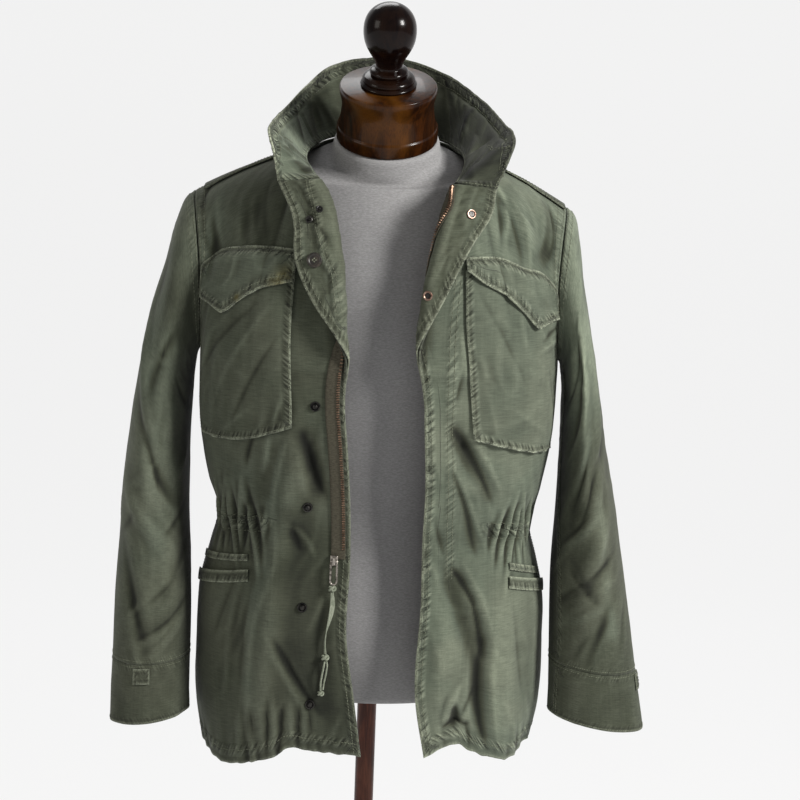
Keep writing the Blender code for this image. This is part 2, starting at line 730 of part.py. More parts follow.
SIDE_ROWS = len([level for level, _ in LEVELS if level < ARMPIT])


def meets_back(number, column, columns):
    """Whether a point of a front lies on its side seam or its shoulder seam."""
    if number < SIDE_ROWS:
        return column == columns - 1
    return number == len(LEVELS) - 1 and column > columns - 1 - FRONT_COLUMNS + NECK_STEP


def meets_front(number, column, columns):
    """Whether a point of the back lies on a side seam or a shoulder seam."""
    if number < SIDE_ROWS:
        return column in (0, columns - 1)
    out = abs(column - BACK_COLUMNS)
    return number == len(LEVELS) - 1 and out > BACK_COLUMNS // 2


FRONT_GRID = {}
for side in (RIGHT, LEFT):
    points, shares = front_rows(side)
    normals = cloth(f"front_{SIDE_NAME[side]}", points, CLOTH, SATEEN, flip=side < 0,
                    shares=shares, square=meets_back)
    FRONT_GRID[side] = (points, normals, shares)
points, shares = back_rows()
cloth("back", points, CLOTH, SATEEN, flip=True, shares=shares, square=meets_front)


# ---------------------------------------------------------------- collar
def neckline_half(side):
    """The neckline from a front's free corner round to the centre back."""
    wide = turned_width(side, TOP)
    count = round(wide / LAPEL_STEP)
    points = [front_point(side, -wide * (1 - k / count), TOP) for k in range(count)]
    whole = length_of(bare_row(side, TOP, False))
    for k in range(NECK_STEP + 1):
        points.append(front_point(side, whole * k / FRONT_COLUMNS, TOP))
    whole = length_of(bare_row(side, TOP, True))
    for k in reversed(range(BACK_COLUMNS // 2)):
        points.append(body_point(side, whole * k / BACK_COLUMNS, TOP, back=True)[0])
    return points


COLLAR_ROWS = 4


def collar_rows():
    seam = neckline_half(RIGHT) + neckline_half(LEFT)[-2::-1]
    seam = [point + np.array((0, 0, COLLAR_LIFT)) for point in seam]
    travelled = np.concatenate(((0.0,), np.cumsum(
        [np.linalg.norm(b - a) for a, b in zip(seam, seam[1:])])))
    rows = []
    for step in range(COLLAR_ROWS + 1):
        t = step / COLLAR_ROWS
        row = []
        for point, distance in zip(seam, travelled / travelled[-1]):
            edge = COLLAR_EDGE(distance)
            row.append(point * (1 - t) + edge * t)
        rows.append(row)
    return rows


cloth("collar", collar_rows(), COLLAR_WALL, SATEEN, flip=True)


# ---------------------------------------------------------------- sleeves and cuffs
def sleeve_relief(side, angle, along):
    total = 0.0
    for fold in SLEEVE_FOLDS[side]:
        start = np.array((fold.along0, math.radians(fold.angle0) * SLEEVE_RADIUS))
        line = np.array((fold.along1, math.radians(fold.angle1) * SLEEVE_RADIUS)) - start
        here = np.array((along, angle * SLEEVE_RADIUS)) - start
        share = float(here @ line) / float(line @ line)
        away = np.linalg.norm(here - line * min(max(share, 0.0), 1.0))
        total += fold.rise * math.exp(-(away / fold.spread) ** 2)
    return total


def sleeve_point(side, angle, along, lift=0.0):
    """A point of a sleeve's outer face, moved out by lift. The angle runs by the front."""
    base = sleeve_ring(side, angle, along)
    nudge, turn = 0.003, 0.04
    round_it = sleeve_ring(side, angle + turn, along) - sleeve_ring(side, angle - turn, along)
    down_it = sleeve_ring(side, angle, along + nudge) - sleeve_ring(side, angle, along - nudge)
    normal = unit(np.cross(down_it, round_it)) * side
    fade = ramp(along, *CAP_FADE) * (1 - ramp(along, CUFF_END - CUFF_FADE, CUFF_END))
    return base + normal * (lift + fade * sleeve_relief(side, angle % (2 * math.pi), along))


SLEEVE_ANGLES = [math.pi * k / ARM_STEPS for k in range(2 * ARM_STEPS)]


def tube_rows(side, first, last, count, lift=0.0):
    rows = []
    for k in range(count + 1):
        along = first + (last - first) * k / count
        rows.append([sleeve_point(side, angle, along, lift) for angle in SLEEVE_ANGLES])
    return rows


for side in (RIGHT, LEFT):
    rows = tube_rows(side, SLEEVE_START, SLEEVE_END - SEAM, SLEEVE_RINGS)
    cloth(f"sleeve_{SIDE_NAME[side]}", rows, CLOTH, SATEEN, flip=side > 0, closed=True)
    rows = tube_rows(side, SLEEVE_END + SEAM, CUFF_END, CUFF_RINGS)
    cloth(f"cuff_{SIDE_NAME[side]}", rows, CLOTH, SATEEN, flip=side > 0, closed=True)


# ---------------------------------------------------------------- pieces laid on the fronts
FACING = 0.0012                     # wall of the facing behind a turned front
LAID = GAP + 0.0002                 # space under a piece that follows a panel's own points
PIECE = GAP + 0.0005                # the same under a piece with points of its own
FACING_FROM = 1.240
FACING_COLUMNS = 2                  # columns of the chest behind which the facing reaches
FACING_INSET = 0.2                  # the part of its first column by which its edge is set in


def band_along(side, number, near, far, lift):
    """Points, normals and shares of a front's row between two distances from its free edge.

    They keep the row's own points between the two, and are moved along its normals.
    """
    points, normals, shares = (part[number] for part in FRONT_GRID[side])
    moved = np.array([point + normal * lift for point, normal in zip(points, normals)])
    steps = np.linalg.norm(np.diff(np.array(points), axis=0), axis=1)
    travelled = np.concatenate(((0.0,), np.cumsum(steps)))
    places = [near] + [d for d in travelled if near + 0.001 < d < far - 0.001] + [far]
    row = [np.array([np.interp(d, travelled, moved[:, axis]) for axis in range(3)])
           for d in places]
    turned_to = [normals[int(np.argmin(abs(travelled - d)))] for d in places]
    return row, turned_to, [float(np.interp(d, travelled, shares)) for d in places]


def facing_rows(side):
    """The facing of the turned cloth, from just inside its free edge to behind the chest."""
    rows, shares = [], []
    for number, (level, _) in enumerate(LEVELS):
        if level < FACING_FROM:
            continue
        points, normals, share = (part[number] for part in FRONT_GRID[side])
        count = len(points) - FRONT_COLUMNS + FACING_COLUMNS
        row = [points[k] - normals[k] * (CLOTH + LAID) for k in range(count)]
        row[0] = row[0] + FACING_INSET * (row[1] - row[0])
        rows.append(row)
        shares.append(share[:count])
    return rows, shares


for side in (RIGHT, LEFT):
    points, shares = facing_rows(side)
    cloth(f"facing_{SIDE_NAME[side]}", points, FACING, SATEEN, flip=side < 0, shares=shares)


def raised(side, across, level, lift, under):
    """A point at lift over a front, or higher where the cloth under it needs it."""
    point = front_point(side, across, level, lift)
    normal = front_point(side, across, level, lift + 1.0) - point
    return lifted(under, point, normal, STRIP + GAP)


# Chest pockets. Their edges are heights by the share of the way from the inner to the
# outer end. The outer edge runs this far in front of the middle plane of the shoulders.
POCKET_FRONT = 0.070
POCKET_TOP = 1.310                  # height at which the pockets' inner edges are given
POCKET_HEAD = 0.013                 # the pocket's own upper edge below the flap's seam
POCKET_LOW = 1.120
POCKET_IN = {RIGHT: (0.062, 0.050), LEFT: (0.057, 0.040)}       # below, above
POCKET_FOOT = {
    RIGHT: Profile("share height", [(0.0, 1.133), (0.35, 1.116), (0.8, 1.110), (1.0, 1.112)]),
    LEFT: Profile("share height", [(0.0, 1.126), (0.35, 1.114), (0.7, 1.105), (1.0, 1.104)]),
}
FLAP_TOP = {
    RIGHT: Profile("share height", [(0.0, 1.334), (0.5, 1.331), (0.85, 1.320), (1.0, 1.306)]),
    LEFT: Profile("share height", [(0.0, 1.332), (0.36, 1.328), (0.5, 1.320), (0.76, 1.312),
                                   (1.0, 1.294)]),
}
FLAP_FOOT = {
    RIGHT: Profile("share height", [(0.0, 1.298), (0.27, 1.282), (0.57, 1.257), (1.0, 1.275)]),
    LEFT: Profile("share height", [(0.0, 1.316), (0.12, 1.303), (0.35, 1.282), (0.62, 1.251),
                                   (1.0, 1.263)]),
}
POCKET_BULGE = 0.006                # how far a pocket swells out
POCKET_FLATNESS = 0.7               # power of its swell across: lower is fuller at the sides
POCKET_UPRIGHT = (0.10, 0.76)       # start and length, in half waves, of its swell upward
POCKET_SEAM = 0.004                 # least distance from a pocket to the side seam or armhole
FLAP_SPACE = 0.0008                 # space between a flap and its pocket
FLAP_CREST = 0.001                  # how far above the pocket's edge a flap turns to its seam
SEEK = 0.012                        # how far a fastener or tape looks for the cloth under it


def outer_edge(side, level):
    """How far along its row a pocket's outer edge lies."""
    row = bare_row(side, level, False)
    steps = np.linalg.norm(np.diff(row, axis=0), axis=1)
    travelled = np.concatenate(((0.0,), np.cumsum(steps)))
    behind = travelled[-row[:, 1] < POCKET_FRONT]
    reach = behind[behind > travelled[-1] / 2]
    limit = travelled[-1] - POCKET_SEAM
    return min(float(reach[0]), limit) if len(reach) else limit


def level_over(side, across, height):
    """The level whose row passes at a height, a distance along the row."""
    if height <= ARMPIT:
        return height
    levels = np.linspace(ARMPIT, TOP, 25)
    heights = [walk(bare_row(side, level, False), across)[2] for level in levels]
    return float(np.interp(height, heights, levels))


def pocket_spot(side, share, height):
    """Distance along its row, and level, of a share of the pocket's width at a height."""
    low, high = POCKET_IN[side]
    inner = low + (high - low) * (height - POCKET_LOW) / (POCKET_TOP - POCKET_LOW)
    level = level_at(height)
    for _ in range(3):
        across = inner + (outer_edge(side, level) - inner) * share
        level = level_over(side, across, height)
    return across, level


def pocket_lift(share, rise):
    """The pocket's own swell, by the share of its width and of its height."""
    swell = math.sin(math.pi * min(max(share, 0.0), 1.0)) ** POCKET_FLATNESS
    first, length = POCKET_UPRIGHT
    upright = math.sin(math.pi * (first + length * min(max(rise, 0.0), 1.0)))
    return POCKET_BULGE * swell * upright


def pocket_head(side, share):
    return FLAP_TOP[side](share)[0] - POCKET_HEAD


def pocket_rows(side, columns=8, steps=6):
    under = surface_of(f"front_{SIDE_NAME[side]}")
    rows = []
    for rise in np.linspace(0, 1, steps + 1):
        row = []
        for share in np.linspace(0, 1, columns + 1):
            foot = POCKET_FOOT[side](share)[0]
            height = foot + (pocket_head(side, share) - foot) * rise
            across, level = pocket_spot(side, share, height)
            lift = PIECE + STRIP + pocket_lift(share, rise)
            row.append(raised(side, across, level, lift, under))
        rows.append(row)
    return rows


def flap_rows(side, columns=8, steps=3):
    """From the flap's lower edge to its sewn upper edge."""
    name = SIDE_NAME[side]
    under = surface_of(f"front_{name}", f"chest_pocket_{name}")
    rows = []
    for step in range(steps + 2):
        row = []
        for share in np.linspace(0.0, 1.0, columns + 1):
            foot, top = FLAP_FOOT[side](share)[0], FLAP_TOP[side](share)[0]
            crest = max(pocket_head(side, share), foot) + FLAP_CREST
            height = foot + (crest - foot) * step / steps if step <= steps else top
            over = (height - POCKET_LOW) / (pocket_head(side, share) - POCKET_LOW)
            lift = PIECE + STRIP
            if step <= steps:
                lift += pocket_lift(share, over) + STRIP + FLAP_SPACE
            across, level = pocket_spot(side, share, height)
            row.append(raised(side, across, level, lift, under))
        rows.append(row)
    return rows


for side in (RIGHT, LEFT):
    flip = side < 0
    cloth(f"chest_pocket_{SIDE_NAME[side]}", pocket_rows(side), STRIP, SATEEN, flip=flip)
    cloth(f"chest_flap_{SIDE_NAME[side]}", flap_rows(side), STRIP, SATEEN, flip=flip)

# Hip pockets: a stitched band over the slanted mouth and a welt under it. Each is the
# distance from the front edge and the level of its upper edge at both ends, and a height.
Slant = namedtuple("Slant", "near near_level far far_level height")
HIP_BANDS = {
    RIGHT: Slant(0.125, 0.974, 0.236, 0.954, 0.008),
    LEFT: Slant(0.110, 0.972, 0.190, 0.950, 0.008),
}
HIP_WELTS = {
    RIGHT: Slant(0.122, 0.957, 0.246, 0.929, 0.014),
    LEFT: Slant(0.108, 0.957, 0.205, 0.933, 0.014),
}


def slant_rows(side, slant, columns=7):
    under = surface_of(f"front_{SIDE_NAME[side]}")
    rows = []
    for below in (slant.height, 0.0):
        row = []
        for k in range(columns + 1):
            share = k / columns
            level = slant.near_level + (slant.far_level - slant.near_level) * share - below
            spot = slant.near + (slant.far - slant.near) * share
            row.append(raised(side, spot, level, PIECE + STRIP, under))
        rows.append(row)
    return rows


for side in (RIGHT, LEFT):
    for kind, slants in (("hip_band", HIP_BANDS), ("hip_welt", HIP_WELTS)):
        name = f"{kind}_{SIDE_NAME[side]}"
        cloth(name, slant_rows(side, slants[side]), STRIP, SATEEN, flip=side < 0)

# Zip tapes, measured from each front's free edge. The right one lies on the outer face as
# far as the roll, and the left one behind, on the facing where there is one.
ZIP_FOOT = 0.980
TAPE_WALL = 0.0010
TAPE_SLACK = 0.0016                 # how loosely the left tape lies behind the roll
TAPES = {RIGHT: (0.006, 0.022), LEFT: (0.034, 0.048)}
TAPE_TOP = TOP - 0.010


def tape_rows(side):
    under = surface_of(f"front_{SIDE_NAME[side]}", f"facing_{SIDE_NAME[side]}")
    rows, shares = [], []
    last = ARMPIT if side == RIGHT else TAPE_TOP
    for number, (level, _) in enumerate(LEVELS):
        if not ZIP_FOOT <= level <= last:
            continue
        if side == RIGHT:
            row, _, share = band_along(side, number, *TAPES[side], LAID + TAPE_WALL)
        else:
            lift = -(CLOTH + LAID + (FACING + LAID if level > FACING_FROM else 0.0))
            row, normals, share = band_along(side, number, *TAPES[side], lift)
            row = [lifted(under, point, -normal, LAID + TAPE_SLACK, SEEK)
                   for point, normal in zip(row, normals)]
        rows.append(row)
        shares.append(share)
    return rows, shares


for side in (RIGHT, LEFT):
    points, shares = tape_rows(side)
    name = f"zip_tape_{SIDE_NAME[side]}"
    cloth(name, points, TAPE_WALL, TAPE, flip=side < 0, shares=shares)


def fastener(name, side, across, level, profile, finish, under, behind=False):
    """A round fastener seated on a front, or on the facing behind it."""
    spot = front_point(side, across, level)
    axis = Vector(front_point(side, across, level, 1.0) - spot) * (-1 if behind else 1)
    spot = Vector(spot)
    surface = surface_of(under)
    radius = max(radius for radius, _ in profile)
    found = hits_near(surface, spot, axis.normalized(), radius, SEEK)
    axis = sum((normal for _, normal in found), Vector()).normalized()
    turned(name, profile, finish, 12, lifted(surface, spot, axis, GAP, radius, SEEK), axis)


STUD = ((0.0056, 0.0), (0.0058, 0.0008), (0.0050, 0.0018), (0.0030, 0.0018), (0.0026, 0.0032))
STUD_PLACES = ((0.033, 1.159), (0.049, 1.040), (0.052, 0.922), (0.053, 0.803))
for number, (across, level) in enumerate(STUD_PLACES, 1):
    fastener(f"stud_{number}", RIGHT, across, level, STUD, BLACK_METAL, "front_right")

RING = ((0.0052, 0.0), (0.0054, 0.0008), (0.0046, 0.0016), (0.0030, 0.0016), (0.0026, 0.0006))
SNAP = ((0.0040, 0.0), (0.0042, 0.0008), (0.0034, 0.0018), (0.0014, 0.0022))
BUTTON = ((0.0078, 0.0), (0.0084, 0.0012), (0.0080, 0.0024), (0.0060, 0.0026), (0.0052, 0.0020))
FACING_TRIM = (
    ("snap_high_right", RIGHT, -0.0205, 1.378, SNAP, BLACK_METAL),
    ("snap_edge_right", RIGHT, -0.0362, 1.368, SNAP, BLACK_METAL),
    ("liner_button_right", RIGHT, -0.0394, 1.324, BUTTON, HORN),
    ("snap_ring_high_left", LEFT, -0.0354, 1.380, RING, COPPER),
    ("snap_ring_low_left", LEFT, -0.0158, 1.290, RING, COPPER),
)
for name, side, across, height, profile, finish in FACING_TRIM:
    under = f"facing_{SIDE_NAME[side]}"
    fastener(name, side, across, level_at(height), profile, finish, under, behind=True)


# ---------------------------------------------------------------- shoulder straps
STRAP_FROM, STRAP_TO = 0.100, 0.213  # distance out of the pointed end and the sewn end
STRAP_HALF = (0.021, 0.026)         # half widths at those ends
STRAP_POINT = (0.35, 1.5)           # the point's width, and the columns in which it widens
STRAP_SPACE = GAP + 0.0009
STRAP_BUTTON = 0.117                # distance out of its button
STRAP_TILT = (0.36, 0.93)           # outward and upward parts of the button's axis


SHOULDERS = surface_of("front_right", "front_left", "back")


def height_over(x, y):
    """Height of the shoulder at a place, looked for on both sides of its seam."""
    found = []
    for nudge in (0.0, 0.0015, -0.0015):
        above = Vector((x, y + nudge, 1.6))
        hits = [tree.ray_cast(above, Vector((0, 0, -1)))[0] for tree in SHOULDERS]
        found += [hit.z for hit in hits if hit is not None]
    return max(found)


def strap_rows(side, columns=7, steps=4):
    rows = []
    for step in range(steps + 1):
        row = []
        for column in range(columns + 1):
            share = column / columns
            out = STRAP_FROM + (STRAP_TO - STRAP_FROM) * share
            wide = STRAP_HALF[0] + (STRAP_HALF[1] - STRAP_HALF[0]) * share
            point, reach = STRAP_POINT
            wide *= point + (1 - point) * min(share * columns / reach, 1.0)
            y = wide * (2 * step / steps - 1)
            row.append((side * out, y, height_over(side * out, y) + STRAP_SPACE + STRIP))
        rows.append(row)
    return rows


for side in (RIGHT, LEFT):
    cloth(f"shoulder_strap_{SIDE_NAME[side]}", strap_rows(side), STRIP, SATEEN, flip=side < 0)
    out, over = side * STRAP_BUTTON, STRAP_SPACE + STRIP + 2 * GAP
    spot = (out, 0.0, height_over(out, 0.0) + over)
    tilt = (side * STRAP_TILT[0], 0.0, STRAP_TILT[1])
    turned(f"strap_button_{SIDE_NAME[side]}", BUTTON, HORN, 12, spot, tilt)


# ---------------------------------------------------------------- cuff tabs
# Small square tabs over the cuffs' seams: along the sleeve, and degrees round it.
TAB_ALONG = (0.5605, 0.5800)
TAB_ANGLES = {RIGHT: (83, 107), LEFT: (153, 177)}


def tab_rows(side, columns=3):
    under = surface_of(f"cuff_{SIDE_NAME[side]}")
    rows = []
    for along in TAB_ALONG:
        row = []
        for turn in np.radians(np.linspace(*TAB_ANGLES[side], columns + 1)):
            point = sleeve_point(side, turn, along, PIECE + STRIP)
            normal = sleeve_point(side, turn, along, 1.0) - point
            row.append(lifted(under, point, normal, STRIP + GAP))
        rows.append(row)
    return rows


for side in (RIGHT, LEFT):
    cloth(f"cuff_tab_{SIDE_NAME[side]}", tab_rows(side), STRIP, SATEEN, flip=side > 0)


# ---------------------------------------------------------------- zip slider and its pull
ZIP_X = -0.0415
SLIDER_UP = 0.979
SLIDER_FACE = -0.1516               # y of the slider's outer face
SLIDER_SIZE = (0.0090, 0.0036, 0.0125)
SLIDER_BEVEL = 0.0012
BRIDGE_SIZE = (0.0030, 0.0038, 0.0080)
BRIDGE_SUNK = 0.0006                # how deep the bridge stands in the slider's face
SLOT_SIZE = (0.0080, 0.0022, 0.0030)
PIN_OUT = 0.0016                    # from the slider's face to the middle of the pull's pin
WIRE = 0.0008                       # radius of the pull's wire
LOOP_HALF = 0.0036
LOOP_LENGTH = 0.0270
PIN = (ZIP_X, SLIDER_FACE - PIN_OUT, SLIDER_UP)


def block(size, centre):
    mesh = bmesh.new()
    bmesh.ops.create_cube(mesh, size=1.0)
    bmesh.ops.scale(mesh, vec=size, verts=mesh.verts)
    bmesh.ops.translate(mesh, vec=centre, verts=mesh.verts)
    data = bpy.data.meshes.new("block")
    mesh.to_mesh(data)
    mesh.free()
    return data


def combine(target, name, mesh, operation):
    """Join a block to an object, or cut it away, with the block kept as a hidden guide."""
    guide = bpy.data.objects.new(name, mesh)
    bpy.context.collection.objects.link(guide)
    guide.hide_render = True
    guide.display_type = "WIRE"
    step = target.modifiers.new(name, "BOOLEAN")
    step.operation = operation
    step.solver = "EXACT"
    step.object = guide


middle = SLIDER_FACE + SLIDER_SIZE[1] / 2
slider = add_object("zip_slider", block(SLIDER_SIZE, (ZIP_X, middle, SLIDER_UP)), BLACK_METAL)
bevel = slider.modifiers.new("edges", "BEVEL")
bevel.width = SLIDER_BEVEL
bevel.segments = 2
bridge_centre = (ZIP_X, SLIDER_FACE - BRIDGE_SIZE[1] / 2 + BRIDGE_SUNK, SLIDER_UP)
combine(slider, "bridge_guide", block(BRIDGE_SIZE, bridge_centre), "UNION")
combine(slider, "slot_guide", block(SLOT_SIZE, PIN), "DIFFERENCE")


def tube(name, points, radius, finish, resolution=2, cyclic=False):
    curve = bpy.data.curves.new(name, "CURVE")
    curve.dimensions = "3D"
    curve.bevel_depth = radius
    curve.bevel_resolution = resolution
    curve.use_fill_caps = True
    spline = curve.splines.new("POLY")
    spline.points.add(len(points) - 1)
    for knot, point in zip(spline.points, points):
        knot.co = (*point, 1.0)
    spline.use_cyclic_u = cyclic
    curve.materials.append(finish)
    made = bpy.data.objects.new(name, curve)
    bpy.context.collection.objects.link(made)
    return made


# The wire loop: a straight pin through the slider's bridge, long sides and a round end.
loop = [(-LOOP_HALF, 0, 0), (0, 0, 0), (LOOP_HALF, 0, 0)]
foot = LOOP_LENGTH - LOOP_HALF
loop += [(LOOP_HALF, 0, -0.3 * foot), (LOOP_HALF, 0, -foot)]
for k in range(1, 6):
    angle = math.pi * k / 6
    loop.append((LOOP_HALF * math.cos(angle), 0, -foot - LOOP_HALF * math.sin(angle)))
loop += [(-LOOP_HALF, 0, -foot), (-LOOP_HALF, 0, -0.3 * foot)]
LEAN = 0.10                         # the loop leans out from the cloth as it hangs
loop = [Vector((x, z * LEAN, z)) + Vector(PIN) for x, _, z in loop]
tube("zip_pull_loop", loop, WIRE, BLACK_METAL, cyclic=True)

# What is tied to the loop, from the loop down: centres as (x, y, height).
KNOT_HIGH = (-0.0425, -0.1560, 0.9472)
KNOT_MID = (-0.0480, -0.1592, 0.8650)
KNOT_LOW = (-0.0520, -0.1592, 0.8210)
KNOT = ((0.0012, -0.0042), (0.0030, -0.0032), (0.0038, -0.0008), (0.0036, 0.0012),
        (0.0024, 0.0030), (0.0010, 0.0036))
TAIL = ((0.0016, -0.0170), (0.0020, -0.0155), (0.0011, -0.0100), (0.0012, -0.0042),
        (0.0028, -0.0030), (0.0034, -0.0004), (0.0032, 0.0012), (0.0020, 0.0028),
        (0.0010, 0.0034))
turned("pull_knot_high", KNOT, TAPE, 10, KNOT_HIGH)
turned("pull_knot_mid", KNOT, TAPE, 10, KNOT_MID)
turned("pull_knot_low", TAIL, TAPE, 10, KNOT_LOW, (0.12, 0.0, 0.99))

RIBBON_ROWS = 12
RIBBON_HALF = 0.0034
RIBBON_WALL = 0.0012
RIBBON_ENDS = (0.0046, 0.0040)      # below the high knot's middle, above the middle knot's
RIBBON_SWAY = 0.0020
RIBBON_PINCH = 0.45                 # how far the knots gather its width
RIBBON_TURN = (-10, 140)            # degrees about its length at both ends


def ribbon_rows():
    """The flat tape from the high knot to the middle one, turned over once on its way."""
    start = np.array(KNOT_HIGH) - (0, 0, RIBBON_ENDS[0])
    end = np.array(KNOT_MID) + (0, 0, RIBBON_ENDS[1])
    rows = []
    for k in range(RIBBON_ROWS + 1):
        t = k / RIBBON_ROWS
        middle = start * (1 - t) + end * t
        middle = middle + np.array((RIBBON_SWAY * math.sin(2 * math.pi * t), 0, 0))
        open_out = math.sin(math.pi * min(t * 1.15 + 0.02, 1.0))
        half = RIBBON_HALF * (RIBBON_PINCH + (1 - RIBBON_PINCH) * open_out)
        turn = math.radians(RIBBON_TURN[0] * (1 - t) + RIBBON_TURN[1] * t)
        across = np.array((math.cos(turn), 0.75 * math.sin(turn), 0.0)) * half
        rows.append([middle - across, middle, middle + across])
    return rows


cloth("pull_tape", ribbon_rows(), RIBBON_WALL, TAPE, flip=True)

# Two thin cords run from the middle knot to the low one: their hand-chosen route points.
CORD_RADIUS = 0.0011
CORD_ROUTES = {
    "pull_cord_front": ((-0.0484, -0.1602, 0.8604), (-0.0494, -0.1625, 0.8540),
                        (-0.0510, -0.1632, 0.8440), (-0.0522, -0.1622, 0.8340),
                        (-0.0521, -0.1601, 0.8250)),
    "pull_cord_back": ((-0.0462, -0.1592, 0.8603), (-0.0456, -0.1588, 0.8540),
                       (-0.0468, -0.1585, 0.8440), (-0.0486, -0.1585, 0.8340),
                       (-0.0496, -0.1587, 0.8256)),
}


def smooth_route(points, count):
    """Evenly spaced points on a smooth curve through the route's points."""
    keys = list(range(len(points)))
    route = Profile("step x y z", [(key, *point) for key, point in zip(keys, points)])
    return [Vector(route(keys[-1] * k / (count - 1))) for k in range(count)]


for name, route in CORD_ROUTES.items():
    tube(name, smooth_route(route, 10), CORD_RADIUS, TAPE)


# ---------------------------------------------------------------- dress form and stand
LEAN_ANGLE = math.radians(24)       # the neck, its cap and the finial lean to the front
NECK_BASE = np.array((0.0, 0.0, 1.415))
NECK_AXIS = np.array((0.0, -math.sin(LEAN_ANGLE), math.cos(LEAN_ANGLE)))
FORM_FOOT = 0.790
FORM_SIDES = 24
NECK_FORWARD = 0.008                # how far the neck stands before the torso's middle

# The torso's rings: height, half width, half depth, how much of the neck's lean they take
# and a power that thins them towards the shoulders.
FORM = (
    (0.790, 0.150, 0.100, 0.0, 1.0), (0.797, 0.160, 0.110, 0.0, 1.0),
    (0.860, 0.168, 0.118, 0.0, 1.0), (0.930, 0.156, 0.110, 0.0, 1.0),
    (1.010, 0.142, 0.102, 0.0, 1.0), (1.100, 0.152, 0.110, 0.0, 1.0),
    (1.200, 0.166, 0.120, 0.0, 1.0), (1.280, 0.170, 0.118, 0.0, 1.0),
    (1.335, 0.170, 0.106, 0.0, 1.1), (1.370, 0.168, 0.094, 0.0, 1.3),
    (1.395, 0.163, 0.083, 0.1, 1.7), (1.410, 0.154, 0.077, 0.3, 2.2),
    (1.4180, 0.139, 0.071, 0.6, 2.4), (1.4258, 0.118, 0.067, 0.9, 2.2),
    (1.4295, 0.096, 0.065, 1.0, 1.5), (1.4323, 0.079, 0.065, 1.0, 1.1),
)
NECK_RINGS = ((0.022, 0.0660), (0.030, 0.0635), (0.038, 0.0625), (0.0430, 0.0610),
              (0.0445, 0.0590))


def form_rings():
    rings = []
    angles = [2 * math.pi * k / FORM_SIDES for k in range(FORM_SIDES)]
    for height, half_width, depth, lean, power in FORM:
        tilt = LEAN_ANGLE * lean
        ring = []
        for angle in angles:
            wave = math.sin(angle)
            back = depth * math.copysign(abs(wave) ** power, wave)
            ring.append((half_width * math.cos(angle), back * math.cos(tilt) - NECK_FORWARD * lean,
                         height + back * math.sin(tilt)))
        rings.append(ring)
    across = np.array((0.0, math.cos(LEAN_ANGLE), math.sin(LEAN_ANGLE)))
    for along, radius in NECK_RINGS:
        centre = NECK_BASE + NECK_AXIS * along
        rings.append([tuple(centre + np.array((radius * math.cos(a), 0, 0))
                            + across * radius * math.sin(a)) for a in angles])
    return rings


def solid_from_rings(name, rings, finish):
    mesh = bmesh.new()
    laid = [[mesh.verts.new(point) for point in ring] for ring in rings]
    count = len(laid[0])
    for low, high in zip(laid, laid[1:]):
        for k in range(count):
            nxt = (k + 1) % count
            mesh.faces.new((low[k], low[nxt], high[nxt], high[k]))
    mesh.faces.new(reversed(laid[0]))
    mesh.faces.new(laid[-1])
    data = bpy.data.meshes.new(name)
    mesh.to_mesh(data)
    mesh.free()
    smooth(data, 50)
    add_object(name, data, finish)


solid_from_rings("form_torso", form_rings(), LINEN)

CAP_FROM = 0.0448                   # along the neck's axis from its base
CAP = ((0.0570, 0.0), (0.0592, 0.0030), (0.0592, 0.0150), (0.0572, 0.0185), (0.0560, 0.0215),
       (0.0540, 0.0330), (0.0530, 0.0440), (0.0545, 0.0520), (0.0562, 0.0580),
       (0.0562, 0.0640), (0.0540, 0.0670))
FINIAL = ((0.0310, 0.0), (0.0325, 0.0020), (0.0300, 0.0042), (0.0302, 0.0075),
          (0.0265, 0.0120), (0.0205, 0.0135), (0.0222, 0.0165), (0.0205, 0.0195),
          (0.0155, 0.0225), (0.0165, 0.0290), (0.0215, 0.0380), (0.0265, 0.0470),
          (0.0296, 0.0580), (0.0302, 0.0670), (0.0288, 0.0765), (0.0235, 0.0870),
          (0.0140, 0.0945), (0.0045, 0.0972))
cap_base = NECK_BASE + NECK_AXIS * CAP_FROM
turned("neck_cap", CAP, MAHOGANY, 28, cap_base, NECK_AXIS)
finial_base = cap_base + NECK_AXIS * (CAP[-1][1] + GAP)
turned("finial", FINIAL, EBONY, 20, finial_base, NECK_AXIS)

BASE_RADIUS = 0.165
BASE_HEIGHT = 0.030
POLE_RADIUS = 0.012
BASE = ((BASE_RADIUS - 0.004, 0.0), (BASE_RADIUS, 0.004), (BASE_RADIUS, 0.014),
        (BASE_RADIUS - 0.006, 0.022), (0.060, 0.026), (0.034, BASE_HEIGHT),
        (0.020, BASE_HEIGHT))
turned("base", BASE, MAHOGANY, 32)
POLE = ((POLE_RADIUS, BASE_HEIGHT + GAP), (POLE_RADIUS, FORM_FOOT - GAP))
turned("pole", POLE, MAHOGANY, 16)
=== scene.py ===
"""A worn olive field jacket, open on a linen dress form with a mahogany cap and stand.

Metres, +Z up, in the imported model's own frame. The jacket faces -Y, and +X is the wearer's
left. Each cloth is a grid of points on its outer face, a Skin, with its own flat measures
u and v. What lies on a cloth is placed by those measures and moved out along its normals.
"""
import math
from collections import namedtuple

import bpy
import numpy as np
from mathutils import Matrix, Vector
from mathutils.bvhtree import BVHTree


